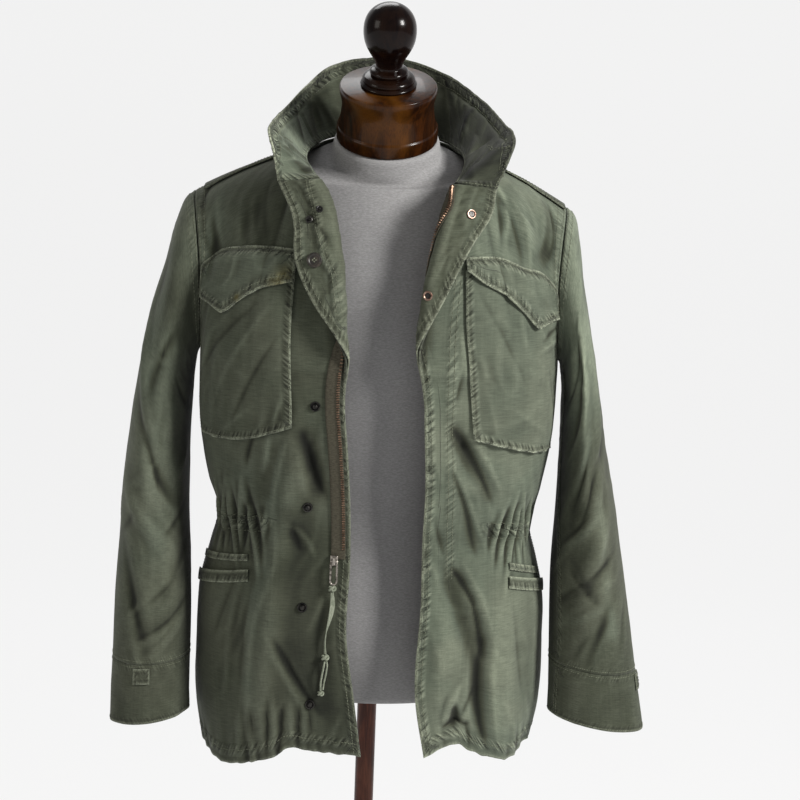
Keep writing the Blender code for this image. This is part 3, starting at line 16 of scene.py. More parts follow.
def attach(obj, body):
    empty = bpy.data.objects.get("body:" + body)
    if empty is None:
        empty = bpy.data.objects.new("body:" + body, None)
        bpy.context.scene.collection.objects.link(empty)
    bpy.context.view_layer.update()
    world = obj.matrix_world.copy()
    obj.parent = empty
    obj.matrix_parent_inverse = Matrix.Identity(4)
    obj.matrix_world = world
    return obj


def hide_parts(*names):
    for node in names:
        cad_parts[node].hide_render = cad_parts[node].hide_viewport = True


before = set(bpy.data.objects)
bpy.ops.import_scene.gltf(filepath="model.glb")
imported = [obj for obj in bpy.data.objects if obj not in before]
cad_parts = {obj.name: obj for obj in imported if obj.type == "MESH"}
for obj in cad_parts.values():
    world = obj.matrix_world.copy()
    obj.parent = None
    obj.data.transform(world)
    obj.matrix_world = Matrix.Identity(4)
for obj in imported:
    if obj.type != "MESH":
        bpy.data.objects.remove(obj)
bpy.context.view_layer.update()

RIGHT, LEFT = -1, 1
SIDE = {RIGHT: "right", LEFT: "left"}

# ---------------------------------------------------------------- camera and lights
PITCH, TILT = math.radians(11.0), math.radians(2.2)
ahead = Vector((0, math.cos(PITCH), -math.sin(PITCH)))
level_up = Vector((0, math.sin(PITCH), math.cos(PITCH)))
right = Vector((math.cos(TILT), 0, 0)) + level_up * math.sin(TILT)
upward = level_up * math.cos(TILT) - Vector((math.sin(TILT), 0, 0))
camera = bpy.data.objects.new("camera", bpy.data.cameras.new("camera"))
camera.data.lens, camera.data.sensor_width = 76.5, 36.0
camera.matrix_world = Matrix.Translation((0.027, -2.03, 1.535)) @ Matrix(
    (right, upward, -ahead)).transposed().to_4x4()
bpy.context.scene.collection.objects.link(camera)
bpy.context.scene.camera = camera
bpy.context.scene.view_settings.view_transform = "Standard"

LIT = Vector((0, 0, 1.15))              # what all the lights point at
LIGHTS = (                              # name, place, size, watts, colour
    ("key", (2.2, -1.5, 2.6), (0.6, 0.9), 116, (1.0, 0.99, 0.97)),
    ("fill", (-2.7, -1.7, 2.2), (1.2, 1.6), 20, (1.0, 0.96, 0.88)),
    ("rim", (-0.4, 1.4, 3.2), (1.6, 0.8), 20, (1.0, 1.0, 1.0)))
for name, where, size, power, colour in LIGHTS:
    lamp = bpy.data.lights.new(name, "AREA")
    lamp.shape = "RECTANGLE"
    lamp.size, lamp.size_y = size
    lamp.energy, lamp.color = power, colour
    made = bpy.data.objects.new(name, lamp)
    made.location = where
    made.rotation_euler = (LIT - Vector(where)).to_track_quat("-Z", "Y").to_euler()
    bpy.context.scene.collection.objects.link(made)
world = bpy.data.worlds.new("studio")
world.use_nodes = True
surround = world.node_tree.nodes["Background"].inputs
surround["Color"].default_value, surround["Strength"].default_value = (1, 1, 1, 1), 0.26
bpy.context.scene.world = world


# ---------------------------------------------------------------- materials
class Finish:
    """A procedural material, written as short calls."""

    def __init__(self, name, **fixed):
        self.material = bpy.data.materials.new(name)
        self.material.use_nodes = True
        self.tree = self.material.node_tree
        self.shader = self.tree.nodes["Principled BSDF"]
        for key, value in fixed.items():
            self.shader.inputs[key.replace("_", " ")].default_value = value

    def feed(self, socket, value):
        if isinstance(value, bpy.types.NodeSocket):
            self.tree.links.new(value, socket)
        else:
            socket.default_value = value

    def node(self, kind, values=None, out=0, **settings):
        made = self.tree.nodes.new("ShaderNode" + kind)
        for key, value in settings.items():
            setattr(made, key, value)
        for key, value in (values or {}).items():
            self.feed(made.inputs[key], value)
        return made.outputs[out]

    def math(self, operation, a, b=0.0, c=0.0, clamp=False):
        return self.node("Math", {0: a, 1: b, 2: c}, operation=operation, use_clamp=clamp)

    def mix(self, share, a, b):
        return self.node("Mix", {0: share, 6: a, 7: b}, out=2, data_type="RGBA")

    def noise(self, at, stretch, detail=2.0, rough=0.5, twist=0.0):
        where = self.node("Mapping", {"Vector": at, "Scale": stretch})
        return self.node("TexNoise", {"Vector": where, "Scale": 1.0, "Detail": detail,
                                      "Roughness": rough, "Distortion": twist})

    def read(self, name):
        return self.node("Attribute", out=2, attribute_name=name)

    def between(self, value, low, high, first=0.0, last=1.0):
        return self.node("MapRange", {0: value, 1: low, 2: high, 3: first, 4: last},
                         interpolation_type="SMOOTHSTEP")

    def times(self, colour, factor):
        return self.node("VectorMath", {0: colour, 3: factor}, operation="SCALE")

    def show(self, colour, height=None):
        self.feed(self.shader.inputs["Base Color"], colour)
        if height is not None:
            bump = self.node("Bump", {"Height": height, "Distance": 1.0, "Strength": 1.0})
            self.feed(self.shader.inputs["Normal"], bump)
        return self.material


def sateen(name, base, wear_and_sheen_colour, ribs=1.0):
    """Worn cotton sateen: weft slubs, worn edges, seam ribs, painted shade and painted highlights.
    """
    f = Finish(name, Roughness=0.92, Specular_IOR_Level=0.25, Sheen_Weight=0.08,
               Sheen_Roughness=0.5)
    flat, place = f.node("UVMap", uv_map="cloth"), f.node("TexCoord", out=3)
    slub = f.noise(flat, (62, 760, 1), 2.0, 0.65)
    thread = f.noise(flat, (900, 2100, 1), 1.0)
    warp = f.noise(flat, (330, 9, 1), 2.0)
    cloud = f.noise(place, (6.5, 6.5, 6.5), 3.0, 0.55, 0.4)
    blotch = f.noise(place, (38, 38, 38), 4.0, 0.6)
    speck = f.noise(place, (190, 190, 190), 3.0, 0.7)
    seam, run, near = f.read("seam"), f.read("run"), f.read("near")
    slant = f.math("MULTIPLY_ADD", seam, 0.7, run)
    where = f.node("CombineXYZ", {0: slant, 1: seam, 2: 0.0})
    rib = f.noise(where, (205, 24, 1), 1.0)
    band = f.math("MULTIPLY", f.between(f.math("ABSOLUTE", seam), 0.0085, 0.0030), near)
    band = f.math("MULTIPLY", band, ribs)
    # Painted highlight on the crests of the seam ribs, and painted shade in the dents between
    # them.
    rib_highlight = f.math("MULTIPLY", f.between(rib, 0.48, 0.62), band)
    rib_shade = f.math("MULTIPLY", f.between(rib, 0.50, 0.36), band)
    # How pale the cloth is: real wear, plus painted highlights on crests and on the seam ribs.
    worn = f.math("MULTIPLY", f.read("wear_and_sheen"), f.between(speck, 0.30, 0.62, 0.45, 1.25))
    worn = f.math("MULTIPLY_ADD", rib_highlight, 0.38, worn, clamp=True)
    value = f.math("MULTIPLY_ADD", slub, 0.95, 0.025)
    for noise, weight in ((warp, 0.30), (thread, 0.55), (cloud, 0.80), (blotch, 0.45)):
        value = f.math("MULTIPLY_ADD", f.math("SUBTRACT", noise, 0.5), weight, value)
    value = f.math("MULTIPLY_ADD", rib_shade, -0.55, value)
    value = f.math("MAXIMUM", f.math("ADD", value, 0.5), 0.25)
    # Painted shade and painted light: the brightness is scaled by the shade field.
    value = f.math("MULTIPLY", value, f.read("shade"))
    # A bluer tint where the painted light is brighter.
    colour = f.mix(f.between(f.read("shade"), 0.36, 0.80), (*base, 1),
                   (base[0] * 0.99, base[1] * 1.04, base[2] * 1.17, 1))
    colour = f.mix(f.between(cloud, 0.42, 0.62, 0.0, 0.30), colour,
                   (base[0] * 1.25, base[1] * 1.12, base[2] * 1.25, 1))
    colour = f.mix(worn, colour, (*wear_and_sheen_colour, 1))
    colour = f.mix(f.read("stain"), colour, (0.24, 0.20, 0.055, 1))
    height = 0.0
    for relief, depth in ((slub, 0.00022), (thread, 0.00012), (blotch, 0.00035),
                          (f.math("MULTIPLY", rib, band), 0.0026)):
        height = f.math("MULTIPLY_ADD", relief, depth, height)
    return f.show(f.times(colour, value), height)


def plain_noise(name, base, other, stretch, bump=0.0002, object_space=True, **fixed):
    """A finish that drifts between two colours, with a fine relief."""
    f = Finish(name, **fixed)
    at = f.node("TexCoord", out=3) if object_space else f.node("UVMap", uv_map="cloth")
    stretch = np.broadcast_to(stretch, 3)
    grain = f.noise(at, tuple(stretch), 4.0, 0.6, 0.3)
    fine = f.noise(at, tuple(6 * stretch), 2.0)
    colour = f.mix(f.between(grain, 0.35, 0.65), (*base, 1), (*other, 1))
    colour = f.times(colour, f.math("MULTIPLY_ADD", fine, 0.5, 0.75))
    return f.show(colour, f.math("MULTIPLY", fine, bump))


def wood(name, base, streak, glow, rough):
    """French-polished wood: long grain, darker clouds and a clear coat."""
    f = Finish(name, Roughness=rough, Coat_Weight=0.10, Coat_Roughness=0.05,
               Specular_IOR_Level=0.12)
    at = f.node("TexCoord", out=3)
    grain = f.noise(at, (120, 120, 9), 4.0, 0.65, 0.8)
    cloud = f.noise(at, (14, 14, 7), 3.0, 0.5, 0.5)
    pore = f.noise(at, (900, 900, 60), 2.0)
    colour = f.mix(f.between(grain, 0.36, 0.62), (*base, 1), (*streak, 1))
    colour = f.mix(f.between(cloud, 0.44, 0.68, 0.0, 0.8), colour, (*glow, 1))
    colour = f.times(colour, f.between(pore, 0.3, 0.6, 0.75, 1.05))
    return f.show(colour, f.math("MULTIPLY", grain, 0.00008))


OLIVE = sateen("sateen_outer", (0.104, 0.117, 0.075), (0.35, 0.38, 0.28))
LINING = sateen("sateen_facing", (0.122, 0.137, 0.088), (0.42, 0.45, 0.33), 0.9)
TAPE = plain_noise("tape_weave", (0.034, 0.030, 0.018), (0.070, 0.062, 0.040),
                   (260, 900, 1), 0.0003, False, Roughness=0.9)
PULL = plain_noise("pull_cotton", (0.16, 0.18, 0.13), (0.27, 0.29, 0.22),
                   (500, 500, 160), 0.0002, Roughness=0.9)
THREAD = plain_noise("thread", (0.075, 0.082, 0.052), (0.20, 0.215, 0.15), 90, 0.0, Roughness=0.8)
HORN = plain_noise("button_horn", (0.014, 0.012, 0.010), (0.045, 0.036, 0.028), 150, 0.0001,
                   Roughness=0.4)
LINEN = plain_noise("linen_cover", (0.25, 0.245, 0.245), (0.33, 0.325, 0.325),
                    (260, 260, 1100), 0.0003, Roughness=0.95)
BRASS, STEEL, BLACK, COPPER = (
    plain_noise(name, base, other, grain, 0.0001, Roughness=rough, Metallic=metal)
    for name, base, other, grain, rough, metal in (
        ("old_brass", (0.10, 0.060, 0.040), (0.34, 0.22, 0.15), 300, 0.42, 0.9),
        ("grey_metal", (0.10, 0.088, 0.075), (0.46, 0.42, 0.37), 300, 0.32, 0.9),
        ("black_lacquer", (0.012, 0.012, 0.012), (0.05, 0.047, 0.043), 240, 0.38, 0.75),
        ("worn_copper", (0.24, 0.13, 0.095), (0.42, 0.30, 0.24), 260, 0.36, 0.9)))
MAHOGANY, EBONY, POLEWOOD = (wood(*row) for row in (
    ("mahogany", (0.034, 0.010, 0.002), (0.010, 0.003, 0.001), (0.092, 0.033, 0.004), 0.28),
    ("dark_finial", (0.007, 0.003, 0.002), (0.003, 0.001, 0.001), (0.014, 0.006, 0.003), 0.20),
    ("pole_wood", (0.10, 0.030, 0.016), (0.040, 0.012, 0.008), (0.16, 0.055, 0.030), 0.30)))
BACKDROP = Finish("backdrop", Roughness=0.95, Emission_Strength=0.78)
BACKDROP.shader.inputs["Emission Color"].default_value = (1, 1, 1, 1)
BACKDROP.show((0.13, 0.13, 0.13, 1))


# ---------------------------------------------------------------- meshes
def add_mesh(name, points, faces, finish, body="garment", node=None, uv=None,
             fields=None):
    """An object from arrays. uv holds a pair for each corner, fields a number a vertex."""
    mesh = bpy.data.meshes.new(name)
    mesh.from_pydata(np.asarray(points, dtype=float).reshape(-1, 3).tolist(), [], faces)
    if uv is not None:
        mesh.uv_layers.new(name="cloth").data.foreach_set("uv", uv.astype(np.float32).ravel())
    for key, values in (fields or {}).items():
        layer = mesh.attributes.new(key, "FLOAT", "POINT")
        layer.data.foreach_set("value", np.asarray(values, dtype=np.float32).ravel())
    mesh.shade_smooth()
    mesh.materials.append(finish)
    return stand_in(bpy.data.objects.new(name, mesh), body, node)


def stand_in(made, body, node):
    """Links an object, attaches it to what it rides on and hides the solid it stands for."""
    bpy.context.scene.collection.objects.link(made)
    if body:
        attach(made, body)
    if node:
        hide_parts(node)
    return made


def corners(grid):
    """The four corners of each face between the rows and columns of a grid."""
    four = np.stack((grid[:-1, :-1], grid[:-1, 1:], grid[1:, 1:], grid[1:, :-1]), 2)
    return four.reshape((-1, 4) + grid.shape[2:])


def walled(outer, inner, flip=False, closed=False):
    """The corners of both faces and of the rim of a wall between two like grids."""
    order = -1 if flip else 1
    borders = [(outer[0], inner[0], 1), (outer[-1], inner[-1], -1)]
    if not closed:
        borders += [(outer[:, 0], inner[:, 0], -1), (outer[:, -1], inner[:, -1], 1)]
    rim = [np.stack((a[1:], a[:-1], b[:-1], b[1:])[::turn * order], 1) for a, b, turn in borders]
    return np.concatenate([corners(outer)[:, ::order], corners(inner)[:, ::-order]] + rim)


def tube_faces(count, sides):
    """The faces of a stack of rings, with a cap at each end."""
    index = np.arange(count * sides).reshape(count, sides)
    faces = corners(np.concatenate((index, index[:, :1]), 1)).tolist()
    return faces + [index[0][::-1].tolist(), index[-1].tolist()]


def unit(vectors):
    size = np.linalg.norm(vectors, axis=-1, keepdims=True)
    return vectors / np.maximum(size, 1e-12)


class Skin:
    """A grid of points on a cloth's outer face, with flat measures u and v at each.

    u grows along the columns and v along the rows. The last column of a closed skin
    repeats its first.
    """

    def __init__(self, points, u, v, flip=False, closed=False):
        self.points = np.asarray(points, dtype=float)
        self.u = np.array(np.broadcast_to(u, self.points.shape[:2]), dtype=float)
        self.v = np.array(np.broadcast_to(v, self.points.shape[:2]), dtype=float)
        self.flip, self.closed = flip, closed
        self.find_normals()

    def find_normals(self):
        grid = self.points
        across = np.gradient(grid, axis=1)
        if self.closed:
            across[:, 0] = across[:, -1] = grid[:, 1] - grid[:, -2]
        normals = unit(np.cross(across, np.gradient(grid, axis=0)))
        self.normals = -normals if self.flip else normals

    def lift(self, rise):
        self.points = self.points + self.normals * rise[..., None]
        self.find_normals()
        return self

    def line(self, row=slice(None), column=slice(None)):
        """The flat measures along one row or one column."""
        return np.stack((self.u[row, column], self.v[row, column]), -1)

    def edge(self, name):
        """The flat measures along the low, high, first or last edge."""
        return {"low": self.line(row=0), "high": self.line(row=-1),
                "first": self.line(column=0), "last": self.line(column=-1)}[name]

    def find(self, u, v, turns=3):
        """Row and column, as fractions, of places given by their flat measures."""
        rows, columns = self.u.shape
        row, column = np.full(len(u), rows / 2), np.zeros(len(u))
        steps_along, steps_up = np.arange(columns), np.arange(rows)
        for _ in range(turns):
            for k in range(len(u)):
                low = min(int(row[k]), rows - 2)
                part = row[k] - low
                line = self.u[low] * (1 - part) + self.u[low + 1] * part
                column[k] = np.interp(u[k], line, steps_along)
                low = min(int(column[k]), columns - 2)
                part = column[k] - low
                line = self.v[:, low] * (1 - part) + self.v[:, low + 1] * part
                row[k] = np.interp(v[k], line, steps_up)
        return row, column

    def at(self, u, v, lift=0.0):
        """Points and normals at flat measures, moved out by lift."""
        shape = np.broadcast(u, v).shape
        u, v = (np.broadcast_to(part, shape).ravel().astype(float) for part in (u, v))
        row, column = self.find(u, v)
        i = np.minimum(row.astype(int), self.u.shape[0] - 2)
        j = np.minimum(column.astype(int), self.u.shape[1] - 2)
        a, b = (row - i)[:, None], (column - j)[:, None]

        def blend(grid):
            low = grid[i, j] * (1 - b) + grid[i, j + 1] * b
            return low * (1 - a) + (grid[i + 1, j] * (1 - b) + grid[i + 1, j + 1] * b) * a

        normals = unit(blend(self.normals))
        points = blend(self.points) + normals * np.broadcast_to(lift, shape).reshape(-1, 1)
        return points.reshape(shape + (3,)), normals.reshape(shape + (3,))

    def hollow(self, reach=3):
        """How hollow (above 0) or proud (below 0) the cloth is at each point, in metres."""
        grid = self.points
        total = np.zeros(grid.shape[:2])
        for axis in (0, 1):
            ahead_of = np.roll(grid, -reach, axis)
            behind = np.roll(grid, reach, axis)
            if axis == 0 or not self.closed:
                for part in (slice(-reach, None), slice(0, reach)):
                    edge = (part, slice(None)) if axis == 0 else (slice(None), part)
                    ahead_of[edge] = behind[edge] = grid[edge]
            total += (((ahead_of + behind) / 2 - grid) * self.normals).sum(-1)
        bend = 0.85 if self.closed and reach > 5 else 0.0
        return total + bend * abs(np.median(total))


BROAD_REACH = 9                         # columns or rows looked across for a broad hollow
ROPE_TURNS = 1500.0                     # how fast a worn edge changes along its length
# How wide a worn edge is, and where and how wide the painted shadow just inside it lies.
WORN_EDGE, EDGE_SHADOW, SHADOW_WIDTH = 0.0024, 0.0048, 0.0018
RIB_REACH, RIB_FADE = 0.014, 0.004      # how far from its rows a seam still ribs the cloth
# The depths at which small hollows and crests, then broad ones, have their full painted shade and
# painted highlight.
DARK, PALE, BROAD_DARK, BROAD_PALE = 0.0020, 0.0016, 0.0070, 0.0060

# A line in u and v, its stitch rows, and how strongly the cloth ribs along them.
Seam = namedtuple("Seam", "points rows rib", defaults=(1.0,))


def edge_seam(skin, edge, rows, rib=1.0):
    """A seam along an edge, laid so that its rows go inwards from the low and side edges."""
    line = skin.edge(edge)
    return Seam(line[::-3] if edge == "first" else line[::3], rows, rib)


def offset(points, distance):
    """A line in u and v, moved to its left."""
    ahead_of = unit(np.gradient(points, axis=0))
    return points + np.stack((-ahead_of[:, 1], ahead_of[:, 0]), -1) * distance


def walk(row, distances):
    """Points at distances along a row of points, in two or three dimensions."""
    steps = np.linalg.norm(np.diff(row, axis=0), axis=1)
    travelled = np.concatenate(((0.0,), np.cumsum(steps)))
    return np.stack([np.interp(distances, travelled, row[:, axis])
                     for axis in range(row.shape[1])], -1)


def length_of(row):
    return float(np.linalg.norm(np.diff(row, axis=0), axis=1).sum())


def beside(at, start, end, tail=0.0):
    """How far along a line each place is, as a share, and the vector to it from the line."""
    line = end - start
    share = np.clip((at - start) @ line / max(line @ line, 1e-12), -tail, 1 + tail)
    return share, at - start - share[..., None] * line


def seam_fields(skin, seams):
    """The signed distance to the nearest seam, how far along it, and how near it is."""
    seam, run, rib = np.ones(skin.u.shape), np.zeros(skin.u.shape), np.zeros(skin.u.shape)
    at = skin.line()
    for number, line in enumerate(seams):
        travelled = 3.7 * number
        centre = sum(line.rows) / len(line.rows)
        for start, end in zip(line.points, line.points[1:]):
            along = end - start
            length = float(np.linalg.norm(along))
            share, away = beside(at, start, end)
            side = np.where(along[0] * away[..., 1] - along[1] * away[..., 0] < 0, -1, 1)
            signed = np.linalg.norm(away, axis=-1) * side - centre
            closer = abs(signed) < abs(seam)
            seam = np.where(closer, signed, seam)
            run = np.where(closer, travelled + share * length, run)
            rib = np.where(closer, line.rib, rib)
            travelled += length
    return seam, run, rib * np.clip((RIB_REACH - abs(seam)) / RIB_FADE, 0, 1)


def edge_gap(skin, sides):
    """Distance of each point to the named edges of its skin: low, high, first or last."""
    gap, at = np.ones(skin.u.shape), skin.line()
    for side in sides.split():
        line = skin.edge(side)[::3]
        for start, end in zip(line, line[1:]):
            gap = np.minimum(gap, np.linalg.norm(beside(at, start, end)[1], axis=-1))
    return gap


def shades(skin, worn_edges, painted_light, wear_and_sheen, painted_strokes):
    """How much each point of a skin is lightened by real rubbing and painted crest highlights, and
    its painted shade and light.
    """
    hollow, broad = skin.hollow(), skin.hollow(BROAD_REACH)
    proud = np.clip(-hollow / PALE, 0, 1)
    gap = edge_gap(skin, worn_edges)
    rope = 0.85 + 0.25 * np.sin(ROPE_TURNS * (skin.u + skin.v))
    # Real wear along the edges, with a small painted highlight on every crest.
    rubbed_and_sheen = wear_and_sheen + 0.12 * proud + rope * np.exp(-(gap / WORN_EDGE) ** 2)
    # Painted shade in hollows and painted highlights on crests, small then broad, scaled by the
    # piece's painted light and painted strokes.
    shade = painted_light * (1 - 0.68 * np.clip(hollow / DARK, 0, 1) + 0.14 * proud)
    shade = shade * (1 - 0.40 * np.clip(broad / BROAD_DARK, 0, 1)
                     + 0.06 * np.clip(-broad / BROAD_PALE, 0, 1))
    shade = shade * np.clip(1 + patches(skin.line(), painted_strokes), 0.08, 1.8)
    # Painted shadow in a band just inside each worn edge.
    return rubbed_and_sheen, shade * (1 - 0.34 * np.exp(-((gap - EDGE_SHADOW) / SHADOW_WIDTH) ** 2))


# Each piece's brightness is scaled by its painted light level, darker where the piece stands in
# shade.
def shell(node, skin, wall, finish=OLIVE, seams=(), worn_edges="", painted_light=1.0,
          painted_strokes=(), stain=0.0, wear_and_sheen=0.0, sewn=True):
    """A solid's cloth: a closed wall with what its finish reads, its sheet and its stitches."""
    rows, columns = skin.u.shape
    count = columns - 1 if skin.closed else columns
    index = np.arange(rows * count).reshape(rows, count)
    wrapped = np.concatenate((index, index[:, :1]), 1) if skin.closed else index
    faces = walled(wrapped, wrapped + rows * count, skin.flip, skin.closed)
    uv = walled(skin.line(), skin.line(), skin.flip, skin.closed)
    points = skin.points[:, :count].reshape(-1, 3)
    inside = points - skin.normals[:, :count].reshape(-1, 3) * wall
    none = np.zeros(skin.u.shape)
    seam, run, near = seam_fields(skin, seams) if seams else (none + 1, none + 1, none)
    rubbed_and_sheen, shade = shades(skin, worn_edges, painted_light, wear_and_sheen, painted_strokes)
    fields = {"seam": seam, "run": run, "near": near, "wear_and_sheen": rubbed_and_sheen, "shade": shade,
              "stain": none + stain}
    fields = {key: np.tile(values[:, :count].ravel(), 2) for key, values in fields.items()}
    made = add_mesh(f"{node}_cloth", np.concatenate((points, inside)), faces.tolist(),
                    finish, "garment", node, uv, fields)
    if seams and sewn:
        sew(f"{node}_stitches", skin, seams)


STITCH, THICK, STITCH_RISE = 0.0036, 0.00042, 0.00030
HALF_STITCH = 0.37 * STITCH             # the rest of each length is the gap to the next one


def sew(name, skin, seams, face=1, wall=0.0):
    """Topstitching: short raised stitches along the rows of the seams, on either face."""
    ends = []
    for line in seams:
        for row in line.rows:
            path = offset(np.asarray(line.points), row)
            whole = length_of(path)
            count = max(int(whole / STITCH), 1)
            middle = (np.arange(count) + 0.5) * whole / count
            ends.append([walk(path, middle + part) for part in (-HALF_STITCH, HALF_STITCH)])
    first = np.concatenate([a for a, _ in ends])
    last = np.concatenate([b for _, b in ends])
    lift = face * (wall + 0.00002)
    a, normal = skin.at(first[:, 0], first[:, 1], lift)
    b, _ = skin.at(last[:, 0], last[:, 1], lift)
    normal = normal * face
    middle = (a + b) / 2 + normal * STITCH_RISE
    along = unit(b - a)
    side = np.cross(along, normal)
    turns = np.arange(5) * 2 * math.pi / 5
    spoke = side[:, None] * np.cos(turns)[:, None] + normal[:, None] * np.sin(turns)[:, None]
    points = np.stack([centre[:, None] + radius * spoke for centre, radius in (
        (a, 0.4 * THICK), (middle, THICK), (b, 0.4 * THICK))], 1)
    count = len(points)
    index = np.arange(count * 15).reshape(count, 3, 5)
    ahead_of = np.roll(index, -1, axis=2)
    faces = np.stack((index[:, :-1], ahead_of[:, :-1], ahead_of[:, 1:], index[:, 1:]), -1)
    add_mesh(name, points, faces.reshape(-1, 4).tolist(), THREAD)


def lathe(name, profile, finish, origin=(0, 0, 0), axis=(0, 0, 1), sides=40,
          node=None, steps=1):
    """A turned piece through (radius, height) pairs, with steps points between each two."""
    profile = np.array(profile, dtype=float)
    if steps > 1:
        key = np.arange(len(profile))
        smooth = Profile(np.column_stack((key, profile)))
        profile = smooth(np.linspace(0, key[-1], steps * key[-1] + 1))
        profile[:, 0] = np.maximum(profile[:, 0], 0.0)
    angles = np.arange(sides) * 2 * math.pi / sides
    turn = np.array(Vector((0, 0, 1)).rotation_difference(Vector(axis)).to_matrix())
    ring = np.stack((profile[:, None, 0] * np.cos(angles), profile[:, None, 0] * np.sin(angles),
                     np.broadcast_to(profile[:, 1:], (len(profile), sides))), -1)
    points = ring.reshape(-1, 3) @ turn.T + np.array(origin)
    made = add_mesh(name, points, tube_faces(len(profile), sides), finish, node=node)
    made.data.set_sharp_from_angle(angle=math.radians(40))


def wire(name, points, radius, finish, cyclic, node):
    """A round wire or cord of the zip's pull."""
    curve = bpy.data.curves.new(name, "CURVE")
    curve.dimensions = "3D"
    curve.bevel_depth, curve.bevel_resolution = radius, 4
    curve.use_fill_caps = True
    spline = curve.splines.new("POLY")
    spline.points.add(len(points) - 1)
    for spot, point in zip(spline.points, points):
        spot.co = (*point, 1.0)
    spline.use_cyclic_u = cyclic
    curve.materials.append(finish)
    return stand_in(bpy.data.objects.new(name, curve), "zip_pull", node)


# ---------------------------------------------------------------- tables of the shapes
class Profile:
    """A short table read as smooth curves. The first column is the key, in rising order."""

    def __init__(self, rows):
        table = np.array(rows, dtype=float)
        self.keys, self.values = table[:, 0], table[:, 1:]
        self.slopes = np.gradient(self.values, self.keys, axis=0)

    def __call__(self, key):
        key = np.clip(np.asarray(key, dtype=float), self.keys[0], self.keys[-1])
        low = np.clip(np.searchsorted(self.keys, key, side="right") - 1, 0, len(self.keys) - 2)
        step = (self.keys[low + 1] - self.keys[low])[..., None]
        t = (key - self.keys[low])[..., None] / step
        ease = t * t * (3 - 2 * t)
        value = self.values[low] * (1 - ease) + self.values[low + 1] * ease
        value = value + self.slopes[low] * step * (t * (1 - t) ** 2)
        return value - self.slopes[low + 1] * step * (t * t * (1 - t))


UNITS = {"m": 0.001, "t": 0.0001, "c": 0.01, "d": 0.1, "1": 1}


def measures(columns, text):
    """Rows of whole numbers, with each column's unit given by its letter."""
    return [tuple(int(part) * UNITS[kind] for kind, part in zip(columns, row.split()))
            for row in text.split(",")]


CLOTH, STRIP, COLLAR_WALL, FACING = 0.0020, 0.0014, 0.0024, 0.0012
GAP = 0.0003
SEAM = GAP / 2 + 0.00005
ARMPIT, YOKE, HEM, WAIST = 1.200, 0.210, 0.742, 1.004
TOP = ARMPIT + YOKE
ROLL = 0.0062
SQUARENESS = 2.70
NECK_SHARE = 4 / 9                      # the share of a front's top row at the neck point
SHOULDER_CROWN = 0.004

# height, half width, front, back
BODY = Profile(measures("mmmm", """
    700 200 150 136, 742 205 154 140, 790 213 158 145, 860 213 158 145, 920 209 156 142,
    960 199 150 134, 1004 189 146 126, 1050 202 150 132, 1110 212 155 139, 1200 214 156 142"""))
FRONT_EDGE = {  # height, distance out, to the front, width turned out
    RIGHT: Profile(measures("mmmm", """
        742 3 154 0, 813 13 157 0, 886 24 157 0, 982 23 148 0, 1076 27 152 0, 1150 34 156 0,
        1200 40 156 7, 1240 44 154 22, 1276 46 151 45, 1320 49 146 62, 1374 59 131 55,
        1410 74 114 54""")),
    LEFT: Profile(measures("mmmm", """
        742 71 150 0, 816 58 156 0, 937 60 153 0, 1004 59 143 0, 1056 60 149 0, 1160 55 155 0,
        1200 54 155 5, 1240 53 153 16, 1287 56 149 34, 1349 66 139 50, 1384 73 127 60,
        1410 80 114 54""")),
}
LAPEL_ANGLE = Profile(measures("m1", "1200 -14, 1280 4, 1340 10, 1410 16"))
HEM_FALL = {  # share of the way to the side, fall
    RIGHT: Profile(measures("cm", """
        0 0, 12 -3, 21 -6, 30 -4, 36 10, 49 23, 57 31, 66 29, 80 21, 100 12""")),
    LEFT: Profile(measures("cm", """
        0 0, 9 -12, 17 -17, 23 -8, 34 3, 46 13, 54 12, 62 4, 76 6, 100 10""")),
}
BACK_FALL = Profile(measures("dm", "0 22, 5 18, 10 11"))
NECK_POINT = (0.083, 0.004, 1.443)
NECK_BEND = (0.092, 0.060, 1.430)
NECK_BACK = (0.0, -0.082, 1.458)
NECK_BACK_BEND = (0.058, -0.062, 1.452)
SHOULDER_TIP = {RIGHT: (0.224, 0.0, 1.386), LEFT: (0.215, 0.0, 1.382)}
RINGS = {  # along, outer out and up, inner out and up, forward, half depth
    RIGHT: Profile(measures("mmmtmmm", """
        0 224 1386 2140 1200 0 80, 12 235 1378 2165 1197 1 83, 32 245 1354 2200 1190 2 87,
        70 256 1308 2225 1178 4 89, 115 269 1262 2245 1162 6 88, 165 279 1216 2255 1140 8 86,
        215 287 1170 2265 1108 10 84, 275 296 1110 2270 1066 15 80,
        345 303 1040 2260 1012 24 75, 425 307 960 2210 946 37 68, 500 309 885 2175 884 52 60,
        556 309 829 2165 834 64 53, 630 310 755 2150 768 80 46""")),
    LEFT: Profile(measures("mmmtmmm", """
        0 215 1382 2140 1200 0 80, 12 225 1375 2165 1197 1 84, 32 232 1352 2195 1190 2 88,
        70 238 1308 2215 1178 4 92, 115 247 1262 2235 1162 6 94, 165 256 1216 2240 1140 8 94,
        215 264 1170 2240 1108 10 91, 275 275 1110 2230 1066 15 86,
        345 289 1040 2210 1014 24 79, 425 303 960 2175 952 37 70, 500 316 889 2180 894 50 62,
        556 324 836 2190 846 62 54, 630 335 766 2200 784 78 46""")),
}
SLEEVE_END, CUFF_END = 0.556, 0.630
SCOOP = {1: 0.010, -1: 0.008}
# share of the collar's length, then a point of its free edge
COLLAR_EDGE = Profile(measures("mmmm", """
    0 -126 -106 1440, 50 -134 -82 1457, 150 -133 -40 1471, 260 -118 4 1490, 350 -99 44 1513,
    420 -73 78 1536, 500 -20 104 1548, 580 28 102 1545, 660 74 74 1528, 750 110 34 1503,
    850 136 -14 1477, 950 148 -66 1457, 1000 140 -94 1437"""))

